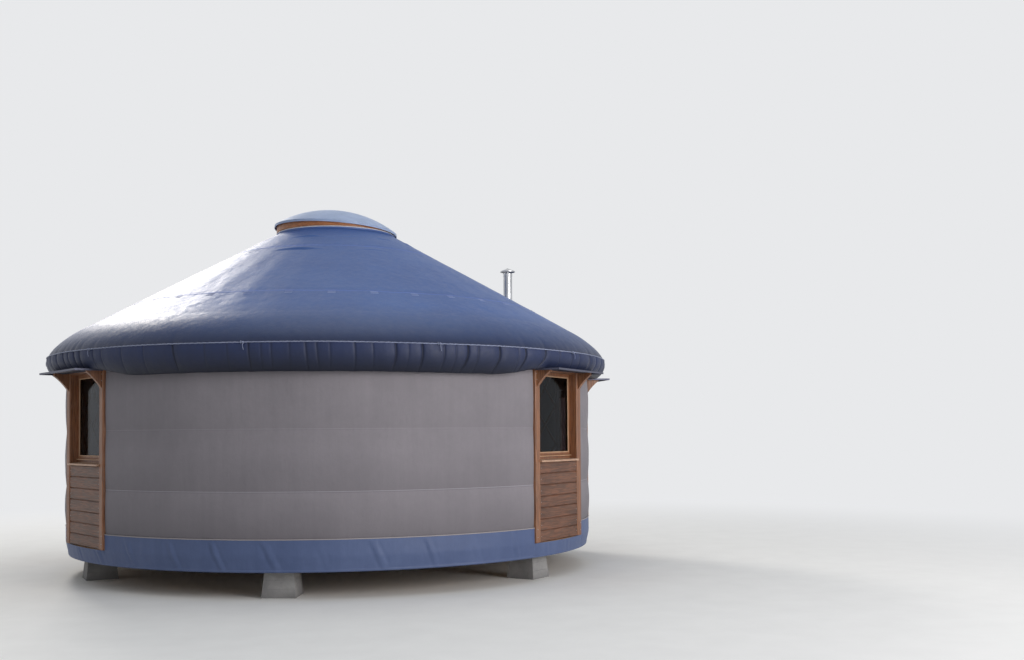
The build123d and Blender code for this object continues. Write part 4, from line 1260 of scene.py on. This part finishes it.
def make_trims():
    """Rounded pale trims round each pane, and a strip on each weather bar."""
    chance = random.Random(5)
    trims = Mesh()
    for angle in WINDOW_ANGLES:
        for side in (-TRIM_SIDE, TRIM_SIDE):
            place = facing(angle, TRIM_OUT, side, TRIM_MIDDLE)
            trims.plank(place, 1.02, *TRIM_SECTION, chance.uniform(0, 30))
        for up in TRIM_ENDS:
            place = facing(angle, TRIM_OUT, 0.0, up) @ LYING
            trims.plank(place, 0.97, *TRIM_SECTION, chance.uniform(0, 30))
        trims.plank(facing(angle, *STRIP_PLACE) @ LYING, 1.08, 0.011, 0.0028, 0.001, chance.uniform(0, 30))
    keep_sharp(trims.piece("pane_trims", bead_wood, slot="bead_timber"), 30)


def add_screw(mesh, matrix, radius):
    """A domed screw head with a recess, facing local +x."""
    rows = []
    for reach, out in SCREW_SECTION:
        row = []
        for turn in turns(12):
            local = Vector((radius * out, radius * reach * math.cos(turn), radius * reach * math.sin(turn)))
            row.append(matrix @ local)
        rows.append(row)
    mesh.grid(rows, closed_columns=True)


def make_screws():
    """Screw heads in the posts, the ends of the boards and the drip plates."""
    screws = Mesh()
    for angle in PANEL_ANGLES:
        for side in (-1, 1):
            for up in POST_SCREW_LEVELS:
                place = facing(angle, PANEL_FRONT + SCREW_LIFT, side * (PANEL_HALF - 0.030), up)
                add_screw(screws, place, 0.006)
    for angle in WINDOW_ANGLES:
        for number in range(BOARD_COUNT):
            for side in (-1, 1):
                across = side * (INSIDE_HALF - 0.03)
                place = facing(angle, BOARD_FRONT + SCREW_LIFT, across, board_middle(number))
                add_screw(screws, place, 0.0045)
    for angle in PANEL_ANGLES:
        for side in DRIP_SCREW_SIDES:
            add_screw(screws, facing(angle, DRIP_SCREW_OUT, side, DRIP_TOP) @ FACE_UP, 0.007)
    screws.piece("screws", fitting_steel, slot="steel_fittings")


# Materials of the CAD pieces that stay
CARRIED_OVER = {
    pier_concrete: ("concrete_piers",),
    sawn_wood: ("platform_rim", "rim_joists", "platform_beams", "platform_joists", "platform_hub"),
    flat_wood: ("floor_deck",),
    lath_wood: ("lattice_door_left", "lattice_door_right", "lattice_back", "lattice_front", "lattice_end"),
    round_wood: ("panel_heads", "window_aprons", "door_threshold"),
    sill_wood: ("window_sills",),
    upright_wood: ("eave_brackets", "window_frames", "door_frame", "door_leaf"),
    bead_round: ("window_beads",),
    plate_wood: ("wall_plate",),
    pole_wood: ("roof_poles",),
    crown_wood: ("crown_ring",),
    curb_edging: ("crown_curb",),
    dome_plastic: ("dome",),
    glazing: ("window_glass", "door_glass"),
    drip_metal: ("drip_plates",),
    steel: ("flue_pipe", "flue_cap"),
    flashing_rubber: ("flue_flashing",),
    fitting_steel: ("door_handle", "door_hinge_pins", "door_hinge_sleeves", "dome_hinges", "dome_stay"),
}
for material, names in CARRIED_OVER.items():
    for name in names:
        nodes[name].data.materials.clear()
        nodes[name].data.materials.append(material)

make_roof()
make_roof_seams()
make_light_frame()
make_roll()
make_rope()
for bay in BAYS:
    make_bay(*bay)
make_skirt_trim(make_skirt())
make_panels()
make_trims()
make_screws()

# Studio: a pale floor that fades into the background, soft light all round and three lamps
BACKGROUND = srgb(232, 233, 235)
FLOOR_REACH = 120.0
FADE = (4.6, 17.0)              # distances from the yurt's axis
AMBIENT, AMBIENT_STRENGTH = (0.94, 0.97, 1.0), 0.42
LAMPS = (
    # name, place, target, size in metres, power in watts, colour
    ("key", (-9.6, 24.7, 18.8), (-1.6, 0.0, 3.8), 7.0, 3900.0, (1.0, 0.95, 0.88)),
    ("overhead", (1.0, -2.0, 15.0), (0.0, 0.0, 2.5), 12.0, 380.0, (0.95, 0.98, 1.0)),
    ("fill", (12.0, -16.0, 5.0), (0.0, 0.0, 1.8), 9.0, 1750.0, (1.0, 0.97, 0.95)),
)


def make_floor():
    look = Look("studio_floor")
    x, y, _ = look.axes()
    far = look.range(look.distance(x, y), *FADE)
    far = look.times(look.times(far, far), look.math("SUBTRACT", 3.0, look.plus(far, far)))
    dust = look.range(look.noise(look.coords, 2.0, 4.0, 0.6), 0.3, 0.7)
    look.set(
        Base_Color=look.mix(dust, srgb(239, 239, 238), srgb(244, 244, 243)),
        Roughness=0.9,
        Specular_IOR_Level=0.1,
    )
    glow = look.add("ShaderNodeEmission", {"Color": BACKGROUND, "Strength": 1.0}).outputs[0]
    shares = {0: look.times(far, look.seen()), 1: look.shader.outputs[0], 2: glow}
    blend = look.add("ShaderNodeMixShader", shares).outputs[0]
    look.feed(look.tree.nodes["Material Output"].inputs[0], blend)
    corners = [(x * FLOOR_REACH, y * FLOOR_REACH, 0.0) for x, y in ((-1, -1), (1, -1), (1, 1), (-1, 1))]
    new_object("studio_floor", corners, [(0, 1, 2, 3)], look.material)


def make_world():
    """The background's colour where it is seen, and a soft pale light on everything."""
    world = bpy.data.worlds.new("studio")
    scene.world = world
    world.use_nodes = True
    world.node_tree.nodes.clear()
    tree = Nodes(world.node_tree)
    shown = tree.add("ShaderNodeBackground", {"Color": BACKGROUND}).outputs[0]
    light = tree.add("ShaderNodeBackground", {"Color": AMBIENT, "Strength": AMBIENT_STRENGTH}).outputs[0]
    blend = tree.add("ShaderNodeMixShader", {0: tree.seen(), 1: light, 2: shown}).outputs[0]
    tree.add("ShaderNodeOutputWorld", {"Surface": blend})


def add_lamp(name, place, target, size, power, colour):
    lamp = bpy.data.lights.new(name, "AREA")
    lamp.shape = "DISK"
    lamp.size = size
    lamp.energy = power
    lamp.color = colour
    obj = bpy.data.objects.new(name, lamp)
    obj.location = place
    obj.rotation_euler = (Vector(target) - Vector(place)).to_track_quat("-Z", "Y").to_euler()
    obj.visible_camera = False
    scene.collection.objects.link(obj)


make_floor()
make_world()
for lamp_values in LAMPS:
    add_lamp(*lamp_values)

# Camera: the photograph's place and lens
CAMERA_PLACE = (-1.145, -16.63, 1.89)
CAMERA_HEADING = (0.225, 0.974)
CAMERA_PITCH = 1.62
CAMERA_ROLL = -0.40
CAMERA_LENS = 38.67
CAMERA_SHIFT = 74.0 / 1024.0

camera_data = bpy.data.cameras.new("camera")
camera_data.sensor_width = 36.0
camera_data.lens = CAMERA_LENS
camera_data.shift_y = CAMERA_SHIFT
camera = bpy.data.objects.new("camera", camera_data)
pitch = math.radians(CAMERA_PITCH)
heading = Vector((*CAMERA_HEADING, 0.0)).normalized()
forward = Vector((heading.x * math.cos(pitch), heading.y * math.cos(pitch), math.sin(pitch)))
level_right = Vector((heading.y, -heading.x, 0.0))
level_up = level_right.cross(forward)
roll = math.radians(CAMERA_ROLL)
right = level_right * math.cos(roll) + level_up * math.sin(roll)
up = level_up * math.cos(roll) - level_right * math.sin(roll)
turned = Matrix((right, up, -forward)).transposed()
camera.matrix_world = Matrix.Translation(CAMERA_PLACE) @ turned.to_4x4()
scene.collection.objects.link(camera)
scene.camera = camera
